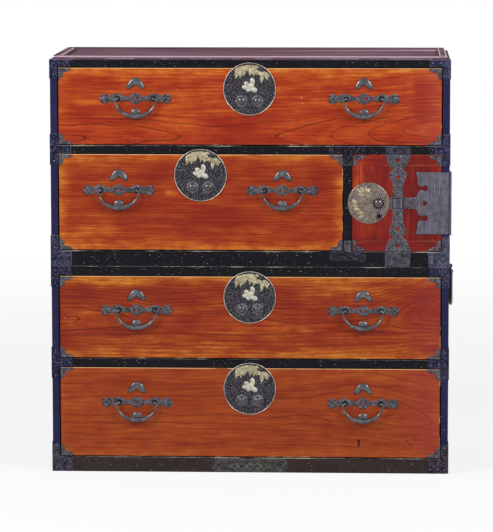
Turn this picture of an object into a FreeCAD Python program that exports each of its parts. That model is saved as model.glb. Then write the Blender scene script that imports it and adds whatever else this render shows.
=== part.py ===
import FreeCAD, Part
import os
import re
import Sketcher

# A two-case clothing chest in lacquered wood with iron and brass fittings.
# X runs to the right, Y to the back and Z up. The origin is on the floor,
# midway between the sides and midway between front and back.
# Lengths are in millimetres and angles in degrees.

# Driving sizes
SIZES = {
    # Cases
    "case_width": 1100,
    "case_depth": 440,
    "side_thick": 20,
    "back_thick": 8,
    "lower_base_rail": 42,
    "opening_four": 254,
    "lower_shelf_rail": 23,
    "opening_three": 233,
    "lower_top": 26,
    "upper_base_rail": 43,
    "opening_two": 270,
    "upper_shelf_rail": 22,
    "opening_one": 216,
    "upper_top": 21,
    "rail_depth": 45,
    "panel_thick": 10,
    "bearer_depth": 60,
    "divider_thick": 22,
    "door_opening": 249,
    "cupboard_shelf": 10,
    # Raised frame on the top
    "lip_height": 9,
    "lip_width": 19,
    "lip_inset": 10,
    # Drawers
    "front_thick": 20,
    "front_gap": 1.5,
    "running_gap": 0.3,
    "drawer_wall": 12,
    "drawer_floor": 7,
    "drawer_depth": 400,
    "drawer_headroom": 14,
    # Locks behind the fronts
    "lock_skin": 8,
    "lock_width": 60,
    "lock_height": 45,
    "lock_clearance": 0.3,
    "bolt_width": 26,
    "bolt_depth": 5,
    "bolt_height": 20,
    "bolt_backset": 2.5,
    "bolt_sink": 0.5,
    "mortise_depth": 9,
    "mortise_play": 1,
    # Round lock plates
    "lock_plate_radius": 72.5,
    "lock_overlap": 14.5,
    "plate_thick": 1.5,
    "rim_width": 2.6,
    "rim_height": 0.8,
    "stud_spread": 22.6,
    "stud_drop": 36,
    "stud_base_radius": 16,
    "stud_base_height": 1.6,
    "stud_radius": 10.8,
    "stud_height": 7.5,
    # Pulls
    "pull_offset_wide": 314,
    "pull_offset_narrow": 226,
    "pull_drop_one": 85,
    "pull_drop_two": 100,
    "pull_drop_three": 95,
    "pull_drop_four": 98,
    "pull_plate_length": 203,
    "pull_plate_height": 33,
    "pivot_spread": 53.5,
    "pivot_reach": 11,
    "eye_radius": 5.5,
    "eye_length": 7,
    "eye_stem_radius": 2.9,
    "pin_radius": 2.4,
    "pin_clearance": 0.08,
    "bail_reach": 61,
    "bail_drop": 47,
    "bail_end_radius": 3.1,
    "bail_ball_radius": 3.4,
    "bail_mid_height": 8,
    "bail_mid_depth": 5.5,
    "peak_width": 49,
    "peak_height": 31,
    "peak_rise": 27,
    "peak_thick": 3.6,
    "strike_radius": 15,
    "strike_drop": 42,
    "strike_height": 4.6,
    # Corner plates of the fronts
    "corner_long": 39,
    "corner_tall": 31,
    "corner_arm": 10,
    "corner_step": 17,
    # Case irons
    "iron_thick": 1.7,
    "iron_reach": 57,
    "iron_side_reach": 55,
    "iron_rise": 32,
    "iron_end_rise": 42,
    "iron_foot_gap": 1,
    "base_plate_width": 217,
    "base_plate_height": 40,
    "door_rail_plate_width": 69,
    "tee_width": 100,
    "tee_drop": 30,
    "tee_arm": 26,
    # Door
    "door_thick": 18,
    "cleat_height": 29,
    "door_lock_radius": 57,
    "door_lock_inset": 45,
    "door_stud_offset": 27.5,
    "door_stud_base_radius": 18,
    "door_stud_radius": 13,
    "door_stud_height": 12,
    "keyhole_offset": 28,
    "keyhole_drop": 36,
    "keyhole_radius": 8,
    "keyhole_bore": 3,
    "keyhole_height": 2,
    "strap_offset": 125.5,
    "strap_width": 70,
    "band_height": 31.5,
    "block_width": 31,
    "block_height": 29,
    "block_thick": 1.5,
    # Door hinge
    "leaf_width": 95,
    "leaf_height": 176,
    "leaf_side_reach": 45,
    "leaf_notch_play": 0.5,
    "knuckle_radius": 3,
    "knuckle_offset": 2.4,
    "knuckle_gap": 0.4,
    "hinge_pin_radius": 1.5,
    "hinge_pin_clearance": 0.05,
    # Drawers behind the door
    "inner_setback": 20,
    "inner_front": 12,
    "inner_wall": 8,
    "inner_floor": 5,
    "inner_depth": 340,
    "inner_headroom": 8,
    "knob_radius": 8,
    "knob_stem_radius": 3.5,
    "knob_reach": 12,
    # Carrying handles on the sides of the lower case
    "handle_drop_below_seam": 30,
    "handle_spread": 62,
    "handle_reach": 70,
    "handle_drop": 98,
    "handle_end_radius": 3.6,
    "handle_ball_radius": 3.9,
    "handle_mid_height": 6.5,
    "handle_mid_depth": 5.2,
    "handle_pivot_reach": 9.5,
    "handle_pad_length": 30,
    "handle_pad_height": 44,
}

# Circles that a handle's swelling bar is drawn through
BAIL_SECTIONS = 9
# Barrels along the hinge, shared out in turn between its two leaves
KNUCKLES = 5
# Cubic millimetres in a cubic centimetre
CUBIC_CENTIMETRE = 1000

# Sizes that follow from the driving ones, each a formula in their names
DERIVED = {
    "front_face": "-case_depth / 2",
    "back_face": "case_depth / 2",
    "back_inside": "back_face - back_thick",
    "left_side": "-case_width / 2",
    "right_side": "case_width / 2",
    "left_inside": "left_side + side_thick",
    "right_inside": "right_side - side_thick",
    "inside_width": "case_width - 2 * side_thick",
    "inside_depth": "back_inside - front_face",
    "floor_four": "lower_base_rail",
    "ceiling_four": "floor_four + opening_four",
    "floor_three": "ceiling_four + lower_shelf_rail",
    "ceiling_three": "floor_three + opening_three",
    "seam": "ceiling_three + lower_top",
    "floor_two": "seam + upper_base_rail",
    "ceiling_two": "floor_two + opening_two",
    "floor_one": "ceiling_two + upper_shelf_rail",
    "ceiling_one": "floor_one + opening_one",
    "case_top": "ceiling_one + upper_top",
    "door_opening_left": "right_inside - door_opening",
    "opening_two_width": "inside_width - door_opening - divider_thick",
    "plate_face": "front_face - plate_thick",
    "lock_depth": "front_thick - lock_skin",
    "bolt_front": "front_face + lock_skin + bolt_backset",
    "door_left": "door_opening_left + front_gap",
    "door_width": "door_opening - 2 * front_gap",
    "door_bottom": "floor_two + front_gap",
    "door_height": "opening_two - 2 * front_gap",
    "door_middle": "floor_two + opening_two / 2",
    "door_lock_x": "door_left + door_lock_inset",
    "door_lock_depth": "door_thick - lock_skin",
    "hinge_x": "right_side + knuckle_offset",
    "hinge_y": "front_face - knuckle_offset",
    "leaf_bottom": "door_middle - leaf_height / 2",
    "knuckle_pitch": f"leaf_height / {KNUCKLES}",
    "inner_opening": "(opening_two - cupboard_shelf) / 2",
    "inner_face": "front_face + door_thick + inner_setback",
    "handle_z": "seam - handle_drop_below_seam",
}

# Each drawer's place: the case that holds it, its left edge, its width and
# how far its pulls stand from its middle
DRAWERS = {
    "one": ("upper", "left_inside", "inside_width", "pull_offset_wide"),
    "two": ("upper", "left_inside", "opening_two_width", "pull_offset_narrow"),
    "three": ("lower", "left_inside", "inside_width", "pull_offset_wide"),
    "four": ("lower", "left_inside", "inside_width", "pull_offset_wide"),
}

# Outlines as shares of a plate's half width and its half height
PULL_PLATE_SHARES = [
    (-1, 0.05), (-0.94, 0.55), (-0.86, 0.8), (-0.76, 0.62), (-0.74, 0.34), (-0.66, 0.4), (-0.56, 0.78),
    (-0.44, 0.86), (-0.3, 0.5), (-0.2, 0.2), (-0.17, 0.55), (-0.09, 0.95), (0.09, 0.95), (0.17, 0.55),
    (0.2, 0.2), (0.3, 0.5), (0.44, 0.86), (0.56, 0.78), (0.66, 0.4), (0.74, 0.34), (0.76, 0.62),
    (0.86, 0.8), (0.94, 0.55), (1, 0.05), (0.94, -0.5), (0.86, -0.8), (0.76, -0.6), (0.7, -0.4),
    (0.56, -0.5), (0.42, -0.4), (0.2, -0.24), (0.16, -0.7), (0.08, -0.95), (-0.08, -0.95), (-0.16, -0.7),
    (-0.2, -0.24), (-0.42, -0.4), (-0.56, -0.5), (-0.7, -0.4), (-0.76, -0.6), (-0.86, -0.8), (-0.94, -0.5),
]
PEAK_SHARES = [
    (-0.8, -1), (-0.45, -0.78), (-0.2, -0.56), (0.2, -0.56), (0.45, -0.78), (0.8, -1), (1, -0.74),
    (0.84, -0.2), (0.54, 0.42), (0.26, 0.84), (0, 1), (-0.26, 0.84), (-0.54, 0.42), (-0.84, -0.2),
    (-1, -0.74),
]
STRAP_SHARES = [
    (-1, -1), (1, -1), (0.84, -0.8), (0.6, -0.78), (0.44, -0.72), (0.58, -0.66), (0.72, -0.56),
    (0.66, -0.44), (0.46, -0.26), (0.46, 0.26), (0.66, 0.44), (0.72, 0.56), (0.58, 0.66), (0.44, 0.72),
    (0.6, 0.78), (0.84, 0.8), (1, 1), (-1, 1), (-0.84, 0.8), (-0.6, 0.78), (-0.44, 0.72), (-0.58, 0.66),
    (-0.72, 0.56), (-0.66, 0.44), (-0.46, 0.26), (-0.46, -0.26), (-0.66, -0.44), (-0.72, -0.56),
    (-0.58, -0.66), (-0.44, -0.72), (-0.6, -0.78), (-0.84, -0.8),
]
LEAF_SHARES = [
    (1, -1), (1, 1), (-0.95, 1), (-1, 0.92), (-0.9, 0.72), (-0.84, 0.58), (-0.84, 0.5), (-0.62, 0.5),
    (-0.62, 0.42), (-0.84, 0.42), (-0.94, 0.2), (-0.96, 0), (-0.94, -0.2), (-0.84, -0.4), (-0.62, -0.4),
    (-0.62, -0.48), (-0.84, -0.48), (-0.84, -0.56), (-0.9, -0.7), (-0.98, -0.92), (-0.95, -1),
]
BASE_PLATE_SHARES = [
    (-0.92, -1), (0.92, -1), (1, -0.3), (0.96, 0.3), (0.86, 1), (0.12, 1), (0, 0.8),
    (-0.12, 1), (-0.86, 1), (-0.96, 0.3), (-1, -0.3),
]

document = FreeCAD.newDocument("clothing_chest")
sheet = document.addObject("Spreadsheet::Sheet", "size")
nodes = []


def fill_sheet():
    """Write every driving size into the sheet as a number with an alias."""
    for row, (alias, number) in enumerate(SIZES.items(), start=1):
        sheet.set(f"A{row}", alias)
        sheet.set(f"B{row}", str(number))
        sheet.setAlias(f"B{row}", alias)
    document.recompute()


def formula(text):
    """Expression for a text of size names, pointed at the sheet's cells."""
    def expand(match):
        word = match.group()
        if word in DERIVED:
            return f"({formula(DERIVED[word])})"
        if word in SIZES:
            return f"size.{word}"
        return word
    return re.sub(r"[a-z_]+", expand, text)


def value(text):
    """Number that a text of size names comes to."""
    return float(sheet.evalExpression(formula(text)))


def bind(item, **properties):
    """Bind each named property of an object to its formula."""
    for name, text in properties.items():
        item.setExpression(name, formula(text))


def turn_flat(item, angle):
    """Turn an object about the upright axis through its own origin."""
    upright = FreeCAD.Vector(0, 0, 1)
    item.Placement = FreeCAD.Placement(FreeCAD.Vector(), FreeCAD.Rotation(upright, angle))


def place(item, x="0", y="0", z="0"):
    """Bind an object's position to three formulas."""
    for axis, text in zip("xyz", (x, y, z)):
        item.setExpression(f".Placement.Base.{axis}", formula(text))
    return item


def block(name, corner, extent):
    """Board or plate with its low corner and its three extents bound."""
    item = document.addObject("Part::Box", name)
    bind(item, Length=extent[0], Width=extent[1], Height=extent[2])
    return place(item, *corner)


def rod(name, start, radius, length, axis):
    """Round bar from a start point along X, towards the front or up."""
    turns = {
        "right": FreeCAD.Rotation(FreeCAD.Vector(0, 1, 0), 90),
        "front": FreeCAD.Rotation(FreeCAD.Vector(1, 0, 0), 90),
        "up": FreeCAD.Rotation(),
    }
    item = document.addObject("Part::Cylinder", name)
    bind(item, Radius=radius, Height=length)
    item.Placement = FreeCAD.Placement(FreeCAD.Vector(), turns[axis])
    return place(item, *start)


def dome(name, start, radius, height):
    """Cap of a ball that stands on a base circle and rises to the front."""
    ball = f"((({radius})^2 + ({height})^2) / (2 * ({height})))"
    item = document.addObject("Part::Sphere", name)
    bind(item, Radius=ball, Angle1=f"asin(1 - ({height}) / {ball})")
    item.Placement = FreeCAD.Placement(FreeCAD.Vector(), FreeCAD.Rotation(FreeCAD.Vector(1, 0, 0), 90))
    return place(item, start[0], f"({start[1]}) + {ball} - ({height})", start[2])


def group(name, pieces):
    """One object that holds separate solids."""
    item = document.addObject("Part::Compound", name)
    item.Links = pieces
    return item


def copy(name, form, x="0", y="0", z="0"):
    """The same form again in another place."""
    return place(group(name, [form]), x, y, z)


def fuse(name, pieces):
    """Pieces that are forged or glued into one."""
    item = document.addObject("Part::MultiFuse", name)
    item.Shapes = pieces
    return item


def cut(name, base, tool):
    """A piece with a recess or a hole in it."""
    item = document.addObject("Part::Cut", name)
    item.Base = base
    item.Tool = tool
    return item


def node(name, pieces):
    """Named sub-part that is written out, made of one or more solids."""
    item = group(name, pieces)
    item.Label = name
    nodes.append(item)
    return item


def outline_plate(name, corners, thickness):
    """Flat plate that rises to the front from a straight-edged outline."""
    body = document.addObject("PartDesign::Body", name)
    plane = next(item for item in body.Origin.OriginFeatures if item.Role == "XZ_Plane")
    sketch = body.newObject("Sketcher::SketchObject", f"{name}_outline")
    sketch.AttachmentSupport = [(plane, "")]
    sketch.MapMode = "FlatFace"
    spots = [FreeCAD.Vector(value(x), value(z), 0) for x, z in corners]
    count = len(spots)
    for number in range(count):
        sketch.addGeometry(Part.LineSegment(spots[number], spots[(number + 1) % count]), False)
    for number in range(count):
        sketch.addConstraint(Sketcher.Constraint("Coincident", number, 2, (number + 1) % count, 1))
    for number, (spot, corner) in enumerate(zip(spots, corners)):
        for kind, distance, text in (("DistanceX", spot.x, corner[0]), ("DistanceY", spot.y, corner[1])):
            index = sketch.addConstraint(Sketcher.Constraint(kind, -1, 1, number, 1, distance))
            label = f"corner{number}{kind}"
            sketch.renameConstraint(index, label)
            sketch.setExpression(f"Constraints.{label}", formula(text))
    pad = body.newObject("PartDesign::Pad", f"{name}_pad")
    pad.Profile = sketch
    bind(pad, Length=thickness)
    return body


def share_plate(name, shares, width, height, thickness):
    """Plate whose outline is given as shares of half its width and height."""
    corners = [(f"{x} * ({width}) / 2", f"{z} * ({height}) / 2") for x, z in shares]
    return outline_plate(name, corners, thickness)


def corner_plate(name, left, bottom):
    """Stepped corner plate whose arms run right and up, or mirrored."""
    along = 1 if left else -1
    up = 1 if bottom else -1
    steps = [
        ("0", "0"), ("corner_long", "0"), ("corner_long", "corner_arm"), ("corner_step", "corner_arm"),
        ("corner_step", "corner_step"), ("corner_arm", "corner_step"), ("corner_arm", "corner_tall"),
        ("0", "corner_tall"),
    ]
    corners = [(f"{along} * ({x})", f"{up} * ({z})") for x, z in steps]
    return outline_plate(name, corners, "plate_thick")


def bail(name, reach, drop, spread, end_radius, ball_radius, mid_height, mid_depth):
    """Hanging handle: a half ring that swells to its middle, with two pins.

    The bar's middle line is half an ellipse, as wide as twice the reach and as
    deep as the drop. Its section grows from the pin ends to the middle with
    the square of the sine of the angle along that half ellipse. It hangs from
    the X axis, and each pin points inwards through its eye.
    """
    sections = []
    for number in range(BAIL_SECTIONS):
        angle = 180 * number / (BAIL_SECTIONS - 1)
        section = document.addObject("Part::Ellipse", f"{name}_section_{number}")
        swell = f"sin({angle} deg)^2"
        bind(section,
             MajorRadius=f"{end_radius} + ({mid_height} - {end_radius}) * {swell}",
             MinorRadius=f"{end_radius} + ({mid_depth} - {end_radius}) * {swell}")
        section.Placement = FreeCAD.Placement(FreeCAD.Vector(), FreeCAD.Rotation(FreeCAD.Vector(0, 1, 0), 1))
        place(section, f"{reach} * cos({angle} deg)", "0", f"-{drop} * sin({angle} deg)")
        across = f"-{reach} * sin({angle} deg)"
        down = f"-{drop} * cos({angle} deg)"
        section.setExpression(".Placement.Rotation.Angle", formula(f"atan2({across}; {down})"))
        sections.append(section)
    bar = document.addObject("Part::Loft", f"{name}_bar")
    bar.Sections = sections
    bar.Solid = True
    pieces = [bar]
    for side, sign in (("left", -1), ("right", 1)):
        end = document.addObject("Part::Sphere", f"{name}_{side}_end")
        bind(end, Radius=ball_radius)
        place(end, f"{sign} * {reach}")
        inner = f"({spread} - eye_length / 2 - running_gap)"
        start = inner if sign > 0 else f"-{reach}"
        pin = rod(f"{name}_{side}_pin", (start, "0", "0"), "pin_radius", f"{reach} - {inner}", "right")
        pieces += [end, pin]
    return fuse(name, pieces)


def eye(name, spread, reach):
    """Post with a cross bore that carries one end of a handle."""
    ring = rod(f"{name}_ring", (f"{spread} - eye_length / 2", f"-{reach}", "0"),
               "eye_radius", "eye_length", "right")
    stem = rod(f"{name}_stem", (spread, "-plate_thick", "0"),
               "eye_stem_radius", f"{reach} - plate_thick", "front")
    bore = rod(f"{name}_bore", (f"{spread} - eye_length", f"-{reach}", "0"),
               "pin_radius + pin_clearance", "2 * eye_length", "right")
    return cut(name, fuse(f"{name}_solid", [ring, stem]), bore)


def pull_fittings():
    """Back plate, two eyes, peak above and strike below, about the pivots."""
    plate = share_plate("pull_plate", PULL_PLATE_SHARES, "pull_plate_length", "pull_plate_height",
                        "plate_thick")
    peak = share_plate("pull_peak", PEAK_SHARES, "peak_width", "peak_height", "peak_thick")
    place(peak, "0", "0", "peak_rise + peak_height / 2")
    strike = dome("pull_strike", ("0", "0", "-strike_drop"), "strike_radius", "strike_height")
    eyes = [eye(f"pull_eye_{side}", f"{sign} * pivot_spread", "pivot_reach")
            for side, sign in (("left", -1), ("right", 1))]
    return group("pull_fittings", [plate, peak, strike] + eyes)


def stud(name, x, z, face, base_radius, radius, height):
    """Round flower base with a domed head on it."""
    base = rod(f"{name}_base", (x, face, z), base_radius, "stud_base_height", "front")
    head = dome(f"{name}_head", (x, f"({face}) - stud_base_height", z), radius, height)
    return group(name, [base, head])


def lock_plate(name, x, z, radius):
    """Thin round plate with a raised rim."""
    plate = rod(f"{name}_plate", (x, "front_face", z), radius, "plate_thick", "front")
    outer = rod(f"{name}_rim_outer", (x, "plate_face", z), radius, "rim_height", "front")
    inner = rod(f"{name}_rim_inner", (x, "plate_face", z), f"{radius} - rim_width", "rim_height", "front")
    return [plate, cut(f"{name}_rim", outer, inner)]


def wooden_front(name, left, bottom, width, height, lock_x):
    """Drawer front with the recess that takes its lock from the back."""
    board = block(f"{name}_board", (left, "front_face", bottom), (width, "front_thick", height))
    recess = block(
        f"{name}_recess",
        (f"{lock_x} - lock_width / 2", "front_face + lock_skin", f"{bottom} + {height} - lock_height"),
        ("lock_width", "lock_depth", "lock_height"))
    return cut(f"{name}_cut", board, recess)


def lock_case(name, lock_x, top):
    """Lock body with the open channel that its bolt rises in."""
    body = block(
        f"{name}_body",
        (f"{lock_x} - lock_width / 2 + lock_clearance", "front_face + lock_skin + lock_clearance",
         f"{top} - lock_height + lock_clearance"),
        ("lock_width - 2 * lock_clearance", "lock_depth - 2 * lock_clearance",
         "lock_height - 2 * lock_clearance"))
    channel = block(
        f"{name}_channel",
        (f"{lock_x} - bolt_width / 2 - lock_clearance", "bolt_front - lock_clearance",
         f"{top} - bolt_sink - bolt_height - lock_clearance"),
        ("bolt_width + 2 * lock_clearance", "bolt_depth + 2 * lock_clearance", "lock_height"))
    return cut(name, body, channel)


def drawer_box(name, left, bottom, width, height):
    """Two sides, a back and a floor behind a drawer front."""
    start = "front_face + front_thick"
    wall_bottom = f"{bottom} + drawer_floor"
    wall_height = f"{height} - drawer_floor"
    floor = block(f"{name}_floor", (left, start, bottom), (width, "drawer_depth", "drawer_floor"))
    walls = [
        block(f"{name}_{side}", (x, start, wall_bottom), ("drawer_wall", "drawer_depth", wall_height))
        for side, x in (("left", left), ("right", f"{left} + {width} - drawer_wall"))]
    back = block(
        f"{name}_back",
        (f"{left} + drawer_wall", f"{start} + drawer_depth - drawer_wall", wall_bottom),
        (f"{width} - 2 * drawer_wall", "drawer_wall", wall_height))
    return [floor] + walls + [back]


def make_drawer(number, fittings, pull_bail):
    """One drawer: front, box, lock, bolt, irons and two hanging pulls."""
    case, opening_left, opening_width, pull_offset = DRAWERS[number]
    name = f"drawer_{number}"
    left = f"{opening_left} + front_gap"
    width = f"({opening_width} - 2 * front_gap)"
    bottom = f"floor_{number} + front_gap"
    height = f"(opening_{number} - 2 * front_gap)"
    top = f"{bottom} + {height}"
    middle = f"({opening_left} + {opening_width} / 2)"
    plate_z = f"{top} + lock_overlap - lock_plate_radius"
    pivot_z = f"{top} - pull_drop_{number}"

    node(f"{name}_front", [wooden_front(name, left, bottom, width, height, middle)])
    box_bottom = f"floor_{number} + running_gap"
    node(f"{name}_box", drawer_box(f"{name}_case", left, box_bottom, width,
                                   f"opening_{number} - drawer_headroom"))

    studs = [
        stud(f"{name}_stud_{side}", f"{middle} + {sign} * stud_spread", f"{plate_z} - stud_drop",
             "plate_face", "stud_base_radius", "stud_radius", "stud_height")
        for side, sign in (("left", -1), ("right", 1))]
    plates = lock_plate(f"{name}_lock", middle, plate_z, "lock_plate_radius")
    node(f"{name}_lock", plates + studs + [lock_case(f"{name}_lock_case", middle, top)])
    bolt = block(
        f"{name}_bolt_bar",
        (f"{middle} - bolt_width / 2", "bolt_front", f"{top} - bolt_sink - bolt_height"),
        ("bolt_width", "bolt_depth", "bolt_height"))
    node(f"{name}_bolt", [bolt])

    corners = []
    for side in ("left", "right"):
        for level in ("bottom", "top"):
            plate = corner_plate(f"{name}_corner_{side}_{level}", side == "left", level == "bottom")
            place(plate, left if side == "left" else f"{left} + {width}", "front_face",
                  bottom if level == "bottom" else top)
            corners.append(plate)
    pulls = []
    for side, sign in (("left", -1), ("right", 1)):
        pull_x = f"{middle} + {sign} * {pull_offset}"
        pulls.append(copy(f"{name}_pull_{side}", fittings, pull_x, "front_face", pivot_z))
        hanging = node(f"{name}_bail_{side}", [pull_bail])
        place(hanging, pull_x, "front_face - pivot_reach", pivot_z)
    node(f"{name}_irons", corners + pulls)


def bolt_mortise(name, number):
    """Hollow in the board above a drawer that its bolt rises into."""
    opening_left, opening_width = DRAWERS[number][1:3]
    middle = f"{opening_left} + {opening_width} / 2"
    return block(
        name,
        (f"{middle} - bolt_width / 2 - mortise_play", "bolt_front - mortise_play", f"ceiling_{number}"),
        ("bolt_width + 2 * mortise_play", "bolt_depth + 2 * mortise_play", "mortise_depth"))


def make_case(case, number, bottom, top, ceiling, top_thick):
    """Two sides, a back and a top over the drawer with the given number."""
    height = f"{top} - {bottom}"
    for side, x in (("left", "left_side"), ("right", "right_inside")):
        board = block(f"{case}_{side}_board", (x, "front_face", bottom),
                      ("side_thick", "case_depth", height))
        node(f"{case}_side_{side}", [board])
    board = block(f"{case}_top", ("left_inside", "front_face", ceiling),
                  ("inside_width", "inside_depth", top_thick))
    node(f"{case}_top_board", [cut(f"{case}_top_cut", board, bolt_mortise(f"{case}_top_mortise", number))])
    back = block(f"{case}_back", ("left_inside", "back_inside", bottom),
                 ("inside_width", "back_thick", height))
    node(f"{case}_back_board", [back])


def make_shelf(case, number, bottom, thickness):
    """Front rail and the thinner panel behind it, flush on top."""
    rail = block(f"{case}_shelf_rail", ("left_inside", "front_face", bottom),
                 ("inside_width", "rail_depth", thickness))
    rail = cut(f"{case}_shelf_rail_cut", rail, bolt_mortise(f"{case}_shelf_mortise", number))
    panel = block(
        f"{case}_shelf_panel",
        ("left_inside", "front_face + rail_depth", f"{bottom} + {thickness} - panel_thick"),
        ("inside_width", "inside_depth - rail_depth", "panel_thick"))
    node(f"{case}_shelf", [rail, panel])


def make_base(case, bottom, rail):
    """Front rail, floor panel and the bearers under it."""
    front = block(f"{case}_front_rail", ("left_inside", "front_face", bottom),
                  ("inside_width", "rail_depth", rail))
    panel = block(
        f"{case}_floor_panel",
        ("left_inside", "front_face + rail_depth", f"{bottom} + {rail} - panel_thick"),
        ("inside_width", "inside_depth - rail_depth", "panel_thick"))
    bearers = [
        block(f"{case}_bearer_{spot}", ("left_inside", y, bottom),
              ("inside_width", "bearer_depth", f"{rail} - panel_thick"))
        for spot, y in (("middle", "-bearer_depth / 2"), ("back", "back_inside - bearer_depth"))]
    node(f"{case}_base_rail", [front])
    node(f"{case}_base_board", [panel] + bearers)


def make_partition():
    """Divider between drawer two and the cupboard, and the cupboard shelf."""
    divider = block(
        "divider_board", ("door_opening_left - divider_thick", "front_face", "floor_two"),
        ("divider_thick", "inside_depth", "opening_two"))
    mortise = block(
        "divider_mortise",
        ("door_opening_left - mortise_depth", "bolt_front - mortise_play",
         "door_middle - bolt_width / 2 - mortise_play"),
        ("mortise_depth", "bolt_depth + 2 * mortise_play", "bolt_width + 2 * mortise_play"))
    shelf = block(
        "cupboard_shelf_board", ("door_opening_left", "inner_face", "floor_two + inner_opening"),
        ("door_opening", "back_inside - (inner_face)", "cupboard_shelf"))
    node("upper_partition", [cut("divider", divider, mortise), shelf])


def make_lip():
    """Raised frame that is planted on the top, in four bars."""
    long_bar = "case_width - 2 * lip_inset"
    bars = [
        block(f"lip_{spot}", ("left_side + lip_inset", y, "case_top"), (long_bar, "lip_width", "lip_height"))
        for spot, y in (("front", "front_face + lip_inset"), ("back", "back_face - lip_inset - lip_width"))]
    bars += [
        block(f"lip_{spot}", (x, "front_face + lip_inset + lip_width", "case_top"),
              ("lip_width", "case_depth - 2 * (lip_inset + lip_width)", "lip_height"))
        for spot, x in (("left", "left_side + lip_inset"), ("right", "right_side - lip_inset - lip_width"))]
    node("upper_lip", bars)


def wrap_iron(name, side, low, high, arm_low, arm_high):
    """Angle iron round a front corner, with an arm along the rail."""
    left = side == "left"
    stile_x = "left_side - iron_thick" if left else "right_inside"
    stile = block(f"{name}_stile", (stile_x, "front_face - iron_thick", low),
                  ("side_thick + iron_thick", "iron_thick", f"{high} - ({low})"))
    arm_x = "left_side" if left else "right_side - iron_reach"
    arm = block(f"{name}_arm", (arm_x, "front_face - iron_thick", arm_low),
                ("iron_reach", "iron_thick", f"{arm_high} - ({arm_low})"))
    cheek_x = "left_side - iron_thick" if left else "right_side"
    cheek = block(f"{name}_cheek", (cheek_x, "front_face - iron_thick", low),
                  ("iron_thick", "iron_side_reach + iron_thick", f"{high} - ({low})"))
    return fuse(name, [stile, arm, cheek])


def case_irons(case, bottom, floor, shelf_low, shelf_high, ceiling, top):
    """Six corner irons of one case, in pairs at its base, shelf and top."""
    irons = []
    spans = {
        "base": (bottom, f"{floor} + iron_end_rise", bottom, f"{floor} - iron_thick"),
        "shelf": (f"{shelf_low} - iron_rise", f"{shelf_high} + iron_rise", shelf_low, shelf_high),
        "top": (f"{ceiling} - iron_rise", top, f"{ceiling} + iron_thick", top),
    }
    for side in ("left", "right"):
        for spot, (low, high, arm_low, arm_high) in spans.items():
            irons.append(wrap_iron(f"{case}_iron_{spot}_{side}", side, low, high, arm_low, arm_high))
    return irons


def make_upper_irons():
    """Corner irons of the upper case and the plates about its door."""
    irons = case_irons("upper", "seam", "floor_two", "ceiling_two", "floor_one", "ceiling_one", "case_top")
    face = "front_face - iron_thick"
    strap_x = "door_left + strap_offset - door_rail_plate_width / 2"
    irons += [
        block(f"door_rail_plate_{spot}", (strap_x, face, z),
              ("door_rail_plate_width", "iron_thick", height))
        for spot, z, height in (("over", "ceiling_two", "upper_shelf_rail"),
                                ("under", "seam", "upper_base_rail"))]
    tee_x = "door_opening_left - divider_thick / 2"
    for spot, z, stem_z in (("over", "ceiling_two", "ceiling_two - tee_drop"),
                            ("under", "floor_two - tee_arm", "floor_two")):
        arm_height = "upper_shelf_rail" if spot == "over" else "tee_arm"
        arm = block(f"tee_{spot}_arm", (f"{tee_x} - tee_width / 2", face, z),
                    ("tee_width", "iron_thick", arm_height))
        stem = block(f"tee_{spot}_stem", ("door_opening_left - divider_thick", face, stem_z),
                     ("divider_thick", "iron_thick", "tee_drop"))
        irons.append(fuse(f"tee_{spot}", [arm, stem]))
    node("upper_irons", irons)


def make_lower_irons():
    """Corner irons of the lower case, the handle eyes and the base plate."""
    irons = case_irons("lower", "iron_foot_gap", "floor_four", "ceiling_four", "floor_three",
                       "ceiling_three", "seam")
    eyes = [eye(f"handle_eye_{side}", f"{sign} * handle_spread", "handle_pivot_reach")
            for side, sign in (("front", -1), ("back", 1))]
    pads = [
        block(f"handle_pad_{side}",
              (f"{sign} * handle_spread - handle_pad_length / 2", "-plate_thick", "-handle_pad_height / 2"),
              ("handle_pad_length", "plate_thick", "handle_pad_height"))
        for side, sign in (("front", -1), ("back", 1))]
    mounts = group("handle_mounts", eyes + pads)
    for side, x, turn in (("left", "left_side", -90), ("right", "right_side", 90)):
        mount = group(f"handle_mounts_{side}", [mounts])
        turn_flat(mount, turn)
        irons.append(place(mount, x, "0", "handle_z"))
    node("lower_irons", irons)
    plate = share_plate("base_plate_form", BASE_PLATE_SHARES, "base_plate_width", "base_plate_height",
                        "iron_thick")
    place(plate, "0", "front_face", "base_plate_height / 2 + iron_foot_gap")
    node("lower_base_plate", [plate])


def make_handles():
    """Two hanging carrying handles on the sides of the lower case."""
    form = bail("handle_form", "handle_reach", "handle_drop", "handle_spread", "handle_end_radius",
                "handle_ball_radius", "handle_mid_height", "handle_mid_depth")
    for side, x, turn in (("left", "left_side - handle_pivot_reach", -90),
                          ("right", "right_side + handle_pivot_reach", 90)):
        handle = node(f"lower_handle_{side}", [form])
        turn_flat(handle, turn)
        place(handle, x, "0", "handle_z")


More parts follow.
